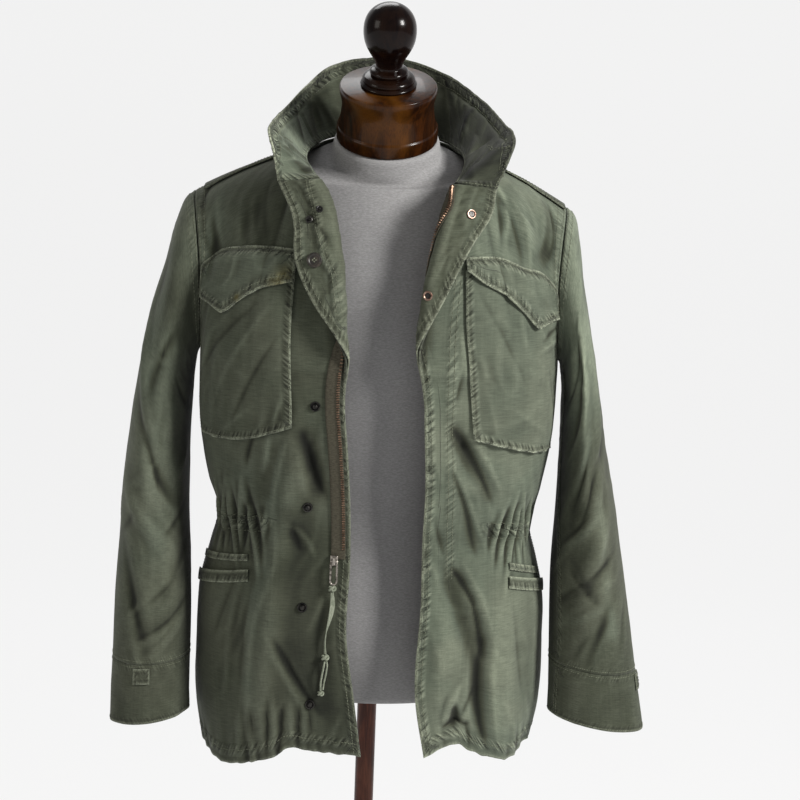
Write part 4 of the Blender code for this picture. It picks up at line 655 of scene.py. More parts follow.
# Folds that the solids have too: seen from straight ahead, from (x0, up0) to (x1, up1).
FRONT_FOLDS = measures("mmmmmm", """
    -89 1120 -104 990 16 8, -104 990 -124 800 17 9, -80 1128 -62 1060 12 -6,
    -160 960 -170 790 20 -6, -60 960 -48 800 16 -4, -196 1360 -194 1300 12 -7,
    -140 1390 -160 1340 12 -4, 92 1140 112 1085 13 -7, 92 965 124 870 15 -8,
    124 870 134 770 15 -8, 150 930 166 790 18 6, 86 900 86 800 16 5, 104 795 106 760 8 -7,
    130 1392 152 1335 10 -5, 150 1392 170 1345 10 5, 188 1365 192 1310 11 -6""")
BACK_FOLDS = measures("mmmmmm", """
    -130 1330 -90 1120 20 -6, 136 1330 98 1130 20 -6, -50 960 -70 780 22 7, 64 960 58 780 22 7,
    -150 950 -160 790 18 -5, 150 950 148 790 18 -5, 4 1160 10 1040 24 6,
    -176 1300 -150 1180 14 5, 176 1300 150 1180 14 5""")
SLEEVE_FOLDS = {  # along0, angle0, along1, angle1, spread, rise
    RIGHT: measures("m1m1mm", """
        60 70 200 110 16 -6, 110 150 250 110 14 5, 250 120 330 50 16 -6, 340 140 400 60 15 5,
        430 130 540 90 14 -5, 200 250 420 280 18 -6, 60 290 180 250 16 -5"""),
    LEFT: measures("m1m1mm", """
        60 80 210 60 16 -5, 120 130 280 120 14 5, 270 130 350 60 16 -6, 360 120 440 70 15 6,
        460 120 545 80 14 -5, 220 250 430 270 18 -6, 50 280 190 260 16 -5"""),
}

# The finer creases, on each cloth's own measures: from (u0, v0) to (u1, v1), how far they
# spread, how far they rise or sink, and how far they bow to the left on the way.
CREASES = {
    RIGHT: measures("mmmmttm", """
        71 1107 89 1026 70 32 4, 89 1026 91 950 80 30 -3, 91 950 123 821 90 34 4,
        48 1122 33 1066 80 -58 3, 62 1116 52 1060 60 28 -2, 65 1020 59 992 60 -42 3,
        72 1016 45 985 50 26 -6, 79 874 47 804 80 -52 4, 90 880 62 800 70 30 3,
        133 944 160 826 100 28 3, 118 940 138 830 80 -22 -2, 103 806 110 753 40 -34 0,
        87 790 94 744 40 -40 1, 66 798 74 744 40 -40 0, 55 802 56 745 35 -34 0,
        78 800 82 744 35 26 0, 97 806 101 748 35 24 0, 124 800 130 752 40 -26 0,
        143 796 148 752 40 24 0, 126 1336 105 1290 70 30 2, 112 1345 94 1300 60 -22 2,
        146 1345 130 1300 70 24 0, 186 1358 161 1315 70 26 3, 230 1395 188 1324 80 -45 4,
        110 1118 122 1085 70 -30 2, 92 1118 100 1080 60 26 0, 28 930 44 890 70 18 2,
        24 862 38 822 60 -18 0, 150 930 176 870 90 -20 0, 20 790 34 760 50 20 0"""),
    LEFT: measures("mmmmttm", """
        37 1128 74 1056 80 -50 4, 50 1130 86 1070 70 30 2, 32 1082 59 999 70 -40 3,
        40 1076 70 1010 60 22 0, 39 967 61 933 60 -56 2, 61 933 79 871 70 -62 2,
        79 871 79 763 80 -56 -3, 54 965 90 880 80 30 4, 64 870 62 780 80 26 0,
        92 860 96 770 90 30 0, 29 771 58 778 35 -52 -2, 36 776 53 825 60 30 2,
        26 776 36 812 50 -20 1, 50 782 70 820 50 -24 0, 57 777 56 748 45 -40 0,
        46 775 44 748 40 26 0, 110 1354 99 1312 60 34 3, 106 1345 115 1290 60 -32 2,
        123 1340 128 1292 60 30 2, 100 1340 88 1296 60 -24 0, 96 1338 150 1332 60 -20 3,
        197 1372 173 1326 70 -48 4, 180 1372 160 1330 70 28 3, 6 1116 17 1079 50 20 0,
        12 1030 24 990 50 -18 0, 8 986 20 952 50 16 0, 127 996 134 962 50 28 0,
        110 990 104 940 80 22 0, 12 900 30 850 100 18 3, 120 910 140 820 100 -22 0,
        40 1230 46 1200 50 22 0, 42 1200 36 1170 40 -20 0"""),
    "back": measures("mmmmttm", """
        -150 1340 -60 1230 100 -30 10, -120 1250 -30 1180 90 26 6, 160 1330 70 1210 100 -32 -8,
        120 1240 40 1170 90 24 -6, -170 1180 -80 1100 90 -26 8, 180 1190 90 1120 90 -28 -8,
        -20 1380 -12 1300 90 18 2, 60 1380 40 1310 90 -20 2, -100 950 -120 830 90 30 4,
        -30 940 -20 800 90 -28 3, 20 950 30 830 80 26 3, 100 960 120 800 100 -30 4,
        180 930 170 800 100 30 4, -200 930 -180 800 100 28 4, 0 1130 -40 1060 80 22 4,
        70 1120 60 1050 80 24 3"""),
    ("sleeve", RIGHT): measures("1m1mttm", """
        66 466 19 412 80 36 4, 80 470 30 430 70 -32 4, 125 498 91 466 70 30 3,
        95 518 30 479 80 -38 6, 83 542 31 500 70 30 4, 110 530 60 512 60 24 3,
        140 52 138 143 80 -30 3, 69 222 69 320 100 -28 4, 100 150 60 110 80 26 4,
        120 330 80 290 80 26 4, 60 380 20 340 80 -30 5, 50 140 20 180 80 -34 4,
        150 400 110 360 90 -22 4, 40 300 15 260 70 26 3, 230 300 290 260 100 -34 6,
        240 350 300 330 80 30 6, 250 120 320 100 90 -30 4, 210 460 270 500 90 26 4"""),
    ("sleeve", LEFT): measures("1m1mttm", """
        54 334 94 265 90 -46 6, 31 349 84 254 80 30 6, 64 350 110 290 80 28 4,
        59 414 93 455 90 -40 -4, 36 382 95 340 80 -30 5, 47 461 129 408 90 -40 8,
        60 480 120 440 70 30 6, 62 542 83 508 70 -30 3, 90 540 110 500 70 28 3,
        124 134 110 220 90 -26 4, 75 71 40 140 80 -34 4, 130 259 114 380 100 -26 4,
        72 196 40 250 80 28 4, 100 180 70 130 80 24 3, 20 430 50 390 70 26 4,
        130 520 150 470 90 -22 3, 230 320 290 270 100 -34 6, 240 360 300 340 80 30 6,
        250 110 320 130 90 -30 4, 210 440 270 490 90 26 4"""),
}
# Painted shade and painted light: strokes from (u0, v0) to (u1, v1), their spread and strength.
FRONT_LIGHT_AND_SHADE = {
    RIGHT: measures("mmmmmc", """
        64 960 30 800 26 -42, 66 870 44 800 14 -30, 110 1350 100 1300 30 -30,
        160 1380 120 1390 30 -22, 185 1350 175 1310 14 35, 48 1125 34 1060 10 -55,
        84 1120 104 960 10 50, 104 960 128 810 12 38, 20 1150 20 1020 12 18,
        60 1190 60 1090 10 -25, 200 940 200 800 20 -30, 68 1030 58 990 10 -40,
        120 1080 140 1040 16 20, 50 780 110 760 10 12"""),
    LEFT: measures("mmmmmc", """
        37 1128 74 1056 9 -45, 44 965 74 890 9 -45, 78 880 79 770 10 -55, 94 870 94 780 10 20,
        32 1082 59 999 7 -30, 110 1350 100 1310 7 35, 104 1345 115 1290 6 -30,
        150 920 155 800 14 -20, 30 770 58 777 5 -45, 12 1180 12 760 8 16,
        90 1090 140 1060 16 10, 190 1370 172 1330 8 -45"""),
}
SLEEVE_LIGHT_AND_SHADE = {
    RIGHT: measures("mmmmmc", """
        74 10 120 60 30 -40, 150 60 140 200 12 30, 20 180 30 440 16 -45, 110 250 90 420 18 18,
        75 470 36 420 8 -30, 110 515 40 480 8 -28"""),
    LEFT: measures("mmmmmc", """
        110 120 100 260 14 55, 80 300 110 240 10 60, 130 330 140 500 12 50,
        60 350 100 270 8 -45, 70 400 110 450 8 -40, 60 380 120 350 7 40, 50 465 140 410 8 -40,
        45 500 120 470 7 35, 12 200 20 540 10 -35, 100 540 140 480 10 30"""),
}
FACING_LIGHT_AND_SHADE = {
    RIGHT: measures("mmmmmc", """
        -18 1395 -20 1340 6 -20, -4 1400 -10 1280 5 -30, -46 1380 -50 1300 6 25,
        -30 1300 -20 1260 6 20"""),
    LEFT: measures("mmmmmc", """
        -4 1400 -4 1330 8 -45, -10 1270 -2 1210 6 -35, -40 1390 -46 1310 8 35"""),
}
SLITS = measures("tttt", "686 739 936 354, 5428 577 5885 816")
# The collar's painted shade and light, with its slits painted as dark lines of shade.
COLLAR_LIGHT_AND_SHADE = [(*slit, 0.0010, -0.90) for slit in SLITS] + measures("mmmmmc", """
    190 10 240 70 16 -60, 250 20 300 80 20 -50, 60 50 80 20 10 -22, 110 30 150 20 10 14,
    410 50 450 70 10 80, 460 24 480 50 8 55, 500 20 550 40 9 40, 570 40 600 50 8 -40,
    520 60 560 80 7 -40, 540 10 590 12 7 35""")
# Gathers where the drawcords pull: u, half width, rise, and how far they run up and down.
WAIST_GATHERS = {
    RIGHT: measures("mttmm", """
        102 40 16 20 12, 113 36 -28 34 20, 121 34 34 30 38, 130 36 -32 26 30, 139 32 30 40 26,
        147 32 -36 30 34, 155 34 34 24 40, 164 32 -30 36 24, 173 34 36 30 34, 183 34 -32 26 28,
        193 36 30 32 30, 204 34 -28 26 24"""),
    LEFT: measures("mttmm", """
        84 36 -18 14 18, 92 34 26 24 14, 100 30 -32 20 26, 107 28 36 30 16, 114 28 -36 22 30,
        121 28 36 26 34, 129 30 -34 20 28, 137 32 32 30 22, 147 34 -30 26 30, 158 34 30 24 26,
        170 36 -28 22 22, 182 36 26 20 20"""),
}


# ---------------------------------------------------------------- the jacket's surfaces
def place(side, out, front, height):
    """Points at distances out from the middle and to the front, at a height."""
    spread = np.broadcast_arrays(side * np.asarray(out, float), -np.asarray(front, float), height)
    return np.stack(spread, -1).astype(float)


def bend_through(start, middle, end, t):
    control = 2 * np.array(middle) - 0.5 * (np.array(start) + np.array(end))
    return (1 - t) ** 2 * np.array(start) + 2 * t * (1 - t) * control + t * t * np.array(end)


def even(row, count):
    """The same row with its points at even distances."""
    return walk(row, np.linspace(0, length_of(row), count))


def ramp(value, low, high):
    """From 0 at low to 1 at high, with an eased start and end."""
    t = np.clip((np.asarray(value, dtype=float) - low) / (high - low), 0, 1)
    return t * t * (3 - 2 * t)


def climb(share):
    return 0.7 * math.sin(math.pi * share / 2) + 0.3 * share


def yoke_share(level):
    return min(max((level - ARMPIT) / YOKE, 0.0), 1.0)


def line_height(level):
    """A level's height at the front edge. Above the armpit the levels draw closer."""
    return level if level <= ARMPIT else ARMPIT + YOKE * climb(yoke_share(level))


def level_at(height):
    """The level that has this height at the front edge."""
    levels = np.linspace(ARMPIT, TOP, 65)
    heights = [line_height(level) for level in levels]
    return height if height <= ARMPIT else float(np.interp(height, heights, levels))


def section(side, start_out, height, back):
    """A half row round the body below the armpit, from start_out to the side."""
    half_width, front, behind = BODY(height)
    power = 2 / SQUARENESS
    first = math.asin(min(max(start_out, 0.0) / half_width, 1.0) ** (1 / power))
    angles = np.linspace(first, math.pi / 2, 73)
    depth = -behind if back else front
    return even(place(side, half_width * np.sin(angles) ** power,
                      depth * np.maximum(np.cos(angles), 0.0) ** power, height), 97)


def sleeve_ring(side, angle, along):
    """Points round a sleeve, at angles and at distances from its top."""
    angle, along = np.broadcast_arrays(np.asarray(angle, float), np.asarray(along, float))
    outer_out, outer_up, inner_out, inner_up, forward, depth = np.moveaxis(
        RINGS[side](along), -1, 0)
    lean, wave = -np.cos(angle), np.sin(angle)
    out = (outer_out + inner_out) / 2 + lean * (outer_out - inner_out) / 2
    height = (outer_up + inner_up) / 2 + lean * (outer_up - inner_up) / 2
    scoop = np.where(wave > 0, SCOOP[1], SCOOP[-1]) * wave * wave * np.exp(-along / 0.035)
    return place(side, out - scoop, forward + depth * wave, height)


def top_row(side, back):
    """The row that the collar stands on, and on to the tip of the shoulder."""
    neck, tip = place(side, *NECK_POINT), place(side, *SHOULDER_TIP[side])
    if back:
        start, bend, knee = place(side, *NECK_BACK), place(side, *NECK_BACK_BEND), 0.5
    else:
        out, front, _ = FRONT_EDGE[side](TOP)
        start, bend, knee = place(side, out, front, TOP), place(side, *NECK_BEND), NECK_SHARE
    points = []
    for share in np.linspace(0, 1, 97):
        t = (share - knee) / (1 - knee)
        if t <= 0:
            points.append(bend_through(start, bend, neck, share / knee))
        else:
            crown = np.array((0, 0, 4 * SHOULDER_CROWN * t * (1 - t)))
            points.append(neck * (1 - t) + tip * t + crown)
    return np.array(points)


def centre_line(side, level, back):
    """A half panel's point at the front edge or the centre back."""
    height = line_height(level)
    if not back:
        out, front, _ = FRONT_EDGE[side](height)
        return place(side, out, front, height)
    if level <= ARMPIT:
        return place(side, 0.0, -BODY(height)[2], height)
    rise = climb(yoke_share(level))
    deep, neck = BODY(ARMPIT)[2], -NECK_BACK[1]
    behind = deep + (neck - deep) * rise ** 2.4
    return place(side, 0.0, -behind, ARMPIT + (NECK_BACK[2] - ARMPIT) * rise)


def bare_row(side, level, back):
    """One row of a half panel, from the front edge or centre back to the side or armhole."""
    if level <= ARMPIT:
        return section(side, 0.0 if back else FRONT_EDGE[side](level)[0], level, back)
    count = 97
    low, high = even(bare_row(side, ARMPIT, back), count), top_row(side, back)
    share = yoke_share(level)
    turn = math.pi * share / 2
    mix = np.array((share, 1 - math.cos(turn), math.sin(turn)))
    across = np.linspace(0, 1, count)[:, None]
    start = centre_line(side, level, back) - (1 - mix) * low[0] - mix * high[0]
    seam = sleeve_ring(side, -2 * turn if back else 2 * turn, 0.0)
    end = seam - (1 - mix) * low[-1] - mix * high[-1]
    return (1 - mix) * low + mix * high + (1 - across) ** 2 * start + across ** 2 * end


def turned_width(side, level):
    """How much cloth turns out beyond the roll line."""
    return max(float(FRONT_EDGE[side](line_height(level))[2]), 0.0)


def turned_cloth(side, level, row, across):
    """Points of the cloth that turns out beyond the roll line, at distances below 0."""
    heading = row[0] - row[2]
    first = math.atan2(heading[1], heading[0] * side)
    first = first - 2 * math.pi if first > 0 else first
    height = line_height(level)
    last = math.radians(float(LAPEL_ANGLE(height)[0]))
    angle = first + np.minimum(-across / ROLL, last - first)
    straight = np.maximum(-across - ROLL * (last - first), 0.0)
    out = ROLL * (np.sin(angle) - math.sin(first)) + straight * np.cos(angle)
    back = ROLL * (math.cos(first) - np.cos(angle)) + straight * np.sin(angle)
    drop = 0.10 * straight * ramp(height, 1.30, TOP)
    return row[0] + np.stack((side * out, back, -drop), -1)


def patches(at, table):
    """Soft strokes, each from one place to another: how strong they are at each place."""
    total = np.zeros(at.shape[:-1])
    for *ends, spread, amount in table:
        away = np.linalg.norm(beside(at, *np.reshape(ends, (2, 2)))[1], axis=-1)
        total += amount * np.exp(-(away / spread) ** 2)
    return total


FOLD_TAIL, CREASE_TAIL = 0.35, 0.22     # how far each fades out beyond its ends, as a share


def folds(at, table):
    """How far a table of large folds lifts the cloth. They fade out beyond both ends."""
    total = np.zeros(at.shape[:-1])
    for *ends, spread, rise in table:
        share, away = beside(at, *np.reshape(ends, (2, 2)), FOLD_TAIL)
        swell = np.sin(math.pi * (share + FOLD_TAIL) / (1 + 2 * FOLD_TAIL))
        swell = np.maximum(swell, 0) ** 1.5
        total += rise * swell * np.exp(-(np.linalg.norm(away, axis=-1) / spread) ** 2)
    return total


def creases(at, table):
    """The same for creases, which bow on their way and fade towards their ends."""
    total = np.zeros(at.shape[:-1])
    for x0, y0, x1, y1, spread, rise, bow in table:
        start, line = np.array((x0, y0)), np.array((x1 - x0, y1 - y0))
        length = math.hypot(*line)
        aside = np.array((-line[1], line[0])) / length
        here = at - start
        share = (here @ line / length ** 2 + CREASE_TAIL) / (1 + 2 * CREASE_TAIL)
        within = np.clip(share, 0, 1)
        swell = np.sin(math.pi * np.clip(within, 0.001, 0.999))
        away = here @ aside - bow * np.sin(math.pi * within)
        beyond = (share - within) * (1 + 2 * CREASE_TAIL) * length
        wide = spread * (0.42 + 0.36 * swell) * np.where(away > 0, 1.35, 0.75)
        far = np.sqrt(away ** 2 + beyond ** 2 + (0.22 * wide) ** 2) - 0.22 * wide
        total += rise * swell * np.exp(-far / wide)
    return total


def unevenness(u, v, size, seed):
    """Smooth noise between -1 and 1, from a fixed grid of values size metres apart."""
    values = np.random.RandomState(seed).uniform(-1, 1, (64, 64))
    x, y = np.asarray(u) / size + 200.0, np.asarray(v) / size + 200.0
    i, j = np.floor(x).astype(int), np.floor(y).astype(int)
    a, b = ramp(x - i, 0, 1), ramp(y - j, 0, 1)

    def pick(p, q):
        return values[(i + p) % 64, (j + q) % 64]

    return (pick(0, 0) * (1 - a) + pick(1, 0) * a) * (1 - b) + (
        pick(0, 1) * (1 - a) + pick(1, 1) * a) * b


def rumple(skin, seed, soft=0.0009, fine=0.0003):
    """The slight unevenness of cloth that has been washed and worn."""
    u, v = skin.u, skin.v
    rise = soft * unevenness(u, v * 0.6, 0.036, seed)
    bend = 0.012 * unevenness(u, v, 0.05, seed + 2)
    ridge = 1 - 2 * abs(unevenness(u + 0.3 * v + bend, v * 0.55 + bend, 0.019, seed + 1))
    return rise + fine * ridge


def waist_gathers(u, v, table, level=WAIST + 0.006):
    """The small pleats to both sides of the waist drawcord."""
    total = np.zeros(u.shape)
    for where, half, rise, above, below in table:
        bent = where + 0.25 * (v - level) * math.sin(900 * where)
        reach = np.where(v > level, above, below)
        total += rise * np.exp(-((u - bent) / half) ** 2) * np.exp(-((v - level) / reach) ** 2)
    return total


def hem_gathers(u, v, share, strength, seed):
    """Uneven gathers over the hem's drawcord, some reaching further up than others."""
    lean = 0.10 * (v - HEM) * unevenness(u, 0 * u, 0.05, seed + 3)
    wave = unevenness(u + lean, 0 * u, 0.0062, seed)
    wave = wave + 0.5 * unevenness(u + lean, 0 * u, 0.011, seed + 4)
    reach = 0.024 + 0.016 * unevenness(u, 0 * u, 0.013, seed + 1)
    depth = 0.35 + 0.9 * abs(unevenness(u, 0 * u, 0.021, seed + 2))
    height = np.exp(-(np.maximum(v - HEM - 0.006, 0) / reach) ** 2)
    return 0.0021 * wave * depth * height * strength(share)[..., 0]


HEM_STRENGTH = {
    RIGHT: Profile(measures("cc", "0 0, 8 35, 16 90, 30 130, 55 110, 100 70")),
    LEFT: Profile(measures("cc", "0 0, 8 35, 16 80, 26 60, 60 45, 100 70")),
    "back": Profile(measures("cc", "0 90, 50 80, 100 80")),
}


def panel(side, back, rows, columns):
    """The points, measures and shares of a front or of half of the back, without folds."""
    levels = np.linspace(HEM, TOP - 0.0004, rows)
    points, across_all, shares, wholes = [], [], [], []
    for level in levels:
        row = bare_row(side, level, back)
        whole = length_of(row) - SEAM
        wide = 0.0 if back else turned_width(side, level)
        across = np.linspace(-wide, whole, columns)
        line = walk(row, np.maximum(across, 0.0))
        if wide:
            beyond = across < 0
            line[beyond] = turned_cloth(side, level, row, across[beyond])
        points.append(line)
        across_all.append(across)
        shares.append(np.clip(across / whole, 0, 1))
        wholes.append(np.full(columns, whole))
    grid = [np.array(part) for part in (points, across_all, shares, wholes)]
    return grid + [np.broadcast_to(levels[:, None], (rows, columns))]


NEAR_SEAM = 0.012                       # creases and unevenness start this far from a seam


def hung(skin, rise, fall, level):
    """Lifts the cloth along its normals and lets the hem hang lower by fall."""
    skin.lift(rise)
    skin.points[..., 2] -= fall * (1 - ramp(level, HEM, HEM + 0.13))
    skin.find_normals()
    return skin


def front_skin(side, rows=215, columns=120):
    """The outer face of a front, turned cloth included."""
    points, across, share, whole, level = panel(side, False, rows, columns)
    skin = Skin(points, across, level, flip=side < 0)
    inset = ramp(whole - across, 0.0, 0.025) * ramp(across, 0.0, 0.03)
    rise = folds(points[..., (0, 2)], FRONT_FOLDS) * inset * (1 - ramp(level, TOP - 0.04, TOP))
    fade = ramp(whole - across, 0.0, NEAR_SEAM) * (1 - ramp(level, TOP - NEAR_SEAM, TOP))
    rise += 0.72 * creases(skin.line(), CREASES[side]) * fade * ramp(across, 0.004, 0.020)
    gathers = waist_gathers(across, level, WAIST_GATHERS[side])
    rise += 1.6 * gathers * ramp(whole - across, 0.0, 0.006)
    rise += hem_gathers(across, level, share, HEM_STRENGTH[side], 40 + side)
    rise += rumple(skin, 10 + side) * fade * ramp(across, 0.0, 0.03)
    rise += 0.0008 * unevenness(0 * level, level, 0.013, 60 + side) * np.exp(
        -(across / 0.010) ** 2) * (across >= 0) * (level < ARMPIT)
    fall = HEM_FALL[side](share)[..., 0] + 0.0015 * unevenness(across, 0 * level, 0.009, 5 + side)
    return hung(skin, rise, fall, level)


def back_skin(rows=210, half=72):
    """The outer face of the back, made of two half panels."""
    grids = [panel(side, True, rows, half) for side in (RIGHT, LEFT)]
    parts = [[grid[:, ::-1] for grid in grids[0]], [grid[:, 1:] for grid in grids[1]]]
    points, across, share, whole, level = (
        np.concatenate((a, b), 1) for a, b in zip(*parts))
    signed = across * np.concatenate((-np.ones(half), np.ones(half - 1)))
    skin = Skin(points, signed, level, flip=True)
    inset = ramp(whole - across, 0.0, 0.025) * (1 - ramp(level, TOP - 0.04, TOP))
    rise = folds(points[..., (0, 2)], BACK_FOLDS) * inset
    fade = ramp(whole - across, 0.0, NEAR_SEAM) * (1 - ramp(level, TOP - NEAR_SEAM, TOP))
    rise += creases(skin.line(), CREASES["back"]) * fade
    phase = 2 * math.pi * (signed / 0.0190 + 0.9 * unevenness(signed, 0 * level, 0.035, 71))
    reach = np.maximum(0.024 + 0.016 * unevenness(signed, 0 * level, 0.02, 72), 0.008)
    depth = 0.0011 + 0.0009 * unevenness(signed, 0 * level, 0.028, 73)
    rise += depth * np.cos(phase) * np.exp(-((level - WAIST) / reach) ** 2) * ramp(
        whole - across, 0.0, 0.006)
    rise += hem_gathers(signed, level, share, HEM_STRENGTH["back"], 44)
    rise += rumple(skin, 20) * fade
    fall = BACK_FALL(share)[..., 0] + 0.0012 * unevenness(signed, 0 * level, 0.012, 8)
    return hung(skin, rise, fall, level)


GIRTH = 0.068                           # a sleeve's mean radius, to measure round it


def rounded(rows):
    """Rows of (along, degrees, along, degrees, ...) with the degrees as ways round a sleeve."""
    return [(a0, math.radians(d0) * GIRTH, a1, math.radians(d1) * GIRTH, *rest)
            for a0, d0, a1, d1, *rest in rows]


def sleeve_skin(side, first, last, rows, columns=96):
    """The outer face of a length of sleeve. v runs down it and u round it."""
    along = np.linspace(first, last, rows)[:, None]
    angle = np.linspace(0, 2 * math.pi, columns + 1)[None, :]
    skin = Skin(sleeve_ring(side, angle, along), GIRTH * angle, along, side > 0, True)
    around = np.stack(np.broadcast_arrays(along, GIRTH * angle), -1)
    fade = ramp(along, 0.02, 0.06) * (1 - ramp(along, CUFF_END - 0.03, CUFF_END))
    rise = folds(around, rounded(SLEEVE_FOLDS[side])) * fade
    swapped = [(a0, d0, a1, d1, *rest) for d0, a0, d1, a1, *rest in CREASES["sleeve", side]]
    close = ramp(along, 0.006, 0.03) * (1 - ramp(along, SLEEVE_END - NEAR_SEAM, SLEEVE_END))
    rise = rise + 0.55 * creases(around, rounded(swapped)) * close
    wrap = ramp(angle, 0.0, 0.5) * ramp(2 * math.pi - angle, 0.0, 0.5)
    rise += rumple(skin, 30 + side, 0.0012, 0.00035) * wrap * ramp(along, 0.002, 0.02)
    return skin.lift(rise)


def collar_skin(rows=46, columns=280):
    """The collar's outer face, with the shares of its length and its height at each."""
    seam = []
    for side in (RIGHT, LEFT):
        row = bare_row(side, TOP, False)
        wide = turned_width(side, TOP)
        across = np.linspace(-wide, 0, 40)
        turned = turned_cloth(side, TOP, row, across)
        whole = length_of(row)
        front = walk(row, np.linspace(0, whole * NECK_SHARE, 30))
        behind = bare_row(side, TOP, True)
        back = walk(behind, np.linspace(length_of(behind) / 2, 0, 40))
        half = np.concatenate((turned, front[1:], back[1:]))
        seam.append(half if side == RIGHT else half[::-1][1:])
    seam = even(np.concatenate(seam), columns) + np.array((0, 0, 0.0006))
    share = np.linspace(0, 1, columns)
    edge = COLLAR_EDGE(share)
    t = np.linspace(0, 1, rows)[:, None, None]
    points = seam * (1 - t) + edge * t
    height = np.linalg.norm(edge - seam, axis=-1)
    u = share * length_of(seam)
    return Skin(points, u, t[..., 0] * height, flip=True), share, height


# ---------------------------------------------------------------- shell pieces
def straight(u0, v0, u1, v1, count=24):
    return np.linspace((u0, v0), (u1, v1), count)


FELLED = (0.0024, 0.0084)               # the stitch rows along a felled seam
EACH_SIDE = (-0.003, 0.003)             # and to both sides of a line
FRONT, FACE = {}, {}
PLACKET = Profile(measures("mt", "940 345, 972 334, 1054 298, 1170 296, 1320 340"))
for side in (RIGHT, LEFT):
    skin = FRONT[side] = front_skin(side)
    rows = skin.u.shape[0]
    waist = straight(WAIST_GATHERS[side][0][0], WAIST + 0.018,
                     skin.u[rows // 3, -1] - 0.004, WAIST - 0.004)
    seams = [edge_seam(skin, "first", (0.0020, 0.0078)),
             Seam(skin.line(row=int(rows * 0.026))[::2], (0.0,)),
             Seam(waist, (0.0, -0.018)), edge_seam(skin, "last", FELLED, 0.5)]
    if side == LEFT:
        down = np.linspace(level_at(1.300), 0.958, 60)
        seams.append(Seam(np.stack((PLACKET(down)[:, 0], down), -1), EACH_SIDE, 0.6))
    # Painted light: the right front is painted much darker than the left one, and darker still low
    # down.
    shell(f"front_{SIDE[side]}", skin, CLOTH, seams=seams, worn_edges="low first",
          painted_strokes=FRONT_LIGHT_AND_SHADE[side],
          painted_light=0.53 - 0.05 * ramp(-skin.v, -1.0, -0.8) if side == RIGHT else 0.92)

back = back_skin()
seams = [Seam(straight(-0.225, level, 0.225, level, 90), (0.0,))
         for level in (WAIST + 0.010, WAIST - 0.012)]
seams += [Seam(back.line(row=6)[::2], (0.0,)), edge_seam(back, "first", FELLED),
          edge_seam(back, "last", FELLED),
          Seam(back.line(row=-1)[::2], (-0.003, -0.009))]
# Painted light: the back is painted paler towards the wearer's left side.
shell("back", back, CLOTH, seams=seams, worn_edges="low",
      painted_light=0.60 + 0.22 * np.clip(back.u / 0.2, -0.6, 1))

# Facings: on the inner face of each front, which looks forward where the front is turned.
FACING_CREASES = {
    RIGHT: measures("mmmmmtm", """
        -30 1395 -24 1330 4 16 3, -22 1350 -30 1300 5 18 -3, -34 1340 -20 1305 4 -10 2,
        -14 1300 -24 1262 5 18 3, -10 1262 -18 1235 4 14 0, -36 1300 -22 1280 4 14 2,
        -8 1400 -6 1340 6 18 2, -4 1235 -12 1205 4 14 0"""),
    LEFT: measures("mmmmmtm", """
        -30 1395 -34 1340 6 16 2, -12 1390 -16 1320 6 16 0, -20 1300 -10 1260 5 14 0,
        -6 1250 -12 1215 4 14 0"""),
}
FACING_SEAM = measures("tt", """
    -200 14090, -259 13636, -318 13277, -272 12970, -218 12843, -204 12612, -184 12433,
    -120 12300""")
for side in (RIGHT, LEFT):
    levels = FRONT[side].v[:, 0]
    first = FRONT[side].u[:, 0] + 0.0006
    reach = np.where(levels > ARMPIT, 0.030, 0.050)
    across = first[:, None] + (reach - first)[:, None] * np.linspace(0, 1, 46)
    level = np.broadcast_to(levels[:, None], across.shape)
    points, _ = FRONT[side].at(across, level, -(CLOTH + GAP + FACING))
    face = FACE[side] = Skin(points, across, level, flip=side > 0)
    free = across - first[:, None]
    pucker = 0.0008 * ramp(free, 0.004, 0.014) * ramp(reach[:, None] - across, 0.0, 0.01)
    ridge = abs(unevenness(across * 1.4, level, 0.010, 80 + side))
    rise = pucker * ridge * ramp(level, 1.16, 1.24)
    face.lift(rise + 1.5 * np.maximum(creases(face.line(), FACING_CREASES[side]), -0.0002))
    if side == LEFT:
        inner = Seam(face.line(column=30)[::3], (0.0,))
    else:
        inner = Seam(walk(np.array(FACING_SEAM), np.linspace(0, 0.17, 50)), (0.0, 0.0035), 0.8)
    shell(f"facing_{SIDE[side]}", face, FACING, LINING, worn_edges="first",
          seams=[edge_seam(face, "first", (0.0016, 0.0074)), inner],
          painted_light=0.46 if side == LEFT else 0.49,
          painted_strokes=FACING_LIGHT_AND_SHADE[side], wear_and_sheen=0.03)

# Collar: stands up all round. Its inner face shows, with a stitched band by the free edge.
collar, collar_share, collar_height = collar_skin()
u, v = collar.u, collar.v
top_gap = collar_height - v
band = np.exp(-((top_gap - 0.018) / 0.0035) ** 2)
inside = ramp(v, 0.0, 0.01) * ramp(top_gap, 0.0, 0.004)
COLLAR_CREASES = measures("mmmmmtm", """
    20 30 75 60 8 20 4, 100 12 130 60 8 -22 3, 150 10 165 70 8 24 2, 190 12 205 70 7 -24 2,
    300 12 290 70 7 26 2, 330 14 335 66 7 -26 2, 365 12 385 60 7 24 2, 420 20 400 60 8 -20 2,
    30 16 60 18 6 -16 2, 245 14 250 70 8 -18 2""")
length = u[0, -1]
scaled = tuple((a * length / 0.45, b, c * length / 0.45, d, e, f, g)
               for a, b, c, d, e, f, g in COLLAR_CREASES)
rise = creases(collar.line(), scaled) * inside
rise += 0.0007 * unevenness(u, 0 * v, 0.0052, 91) * np.exp(-((top_gap - 0.010) / 0.008) ** 2)
rise += rumple(collar, 92, 0.0012, 0.0007) * inside + 0.0010 * band
collar.lift(1.3 * rise)
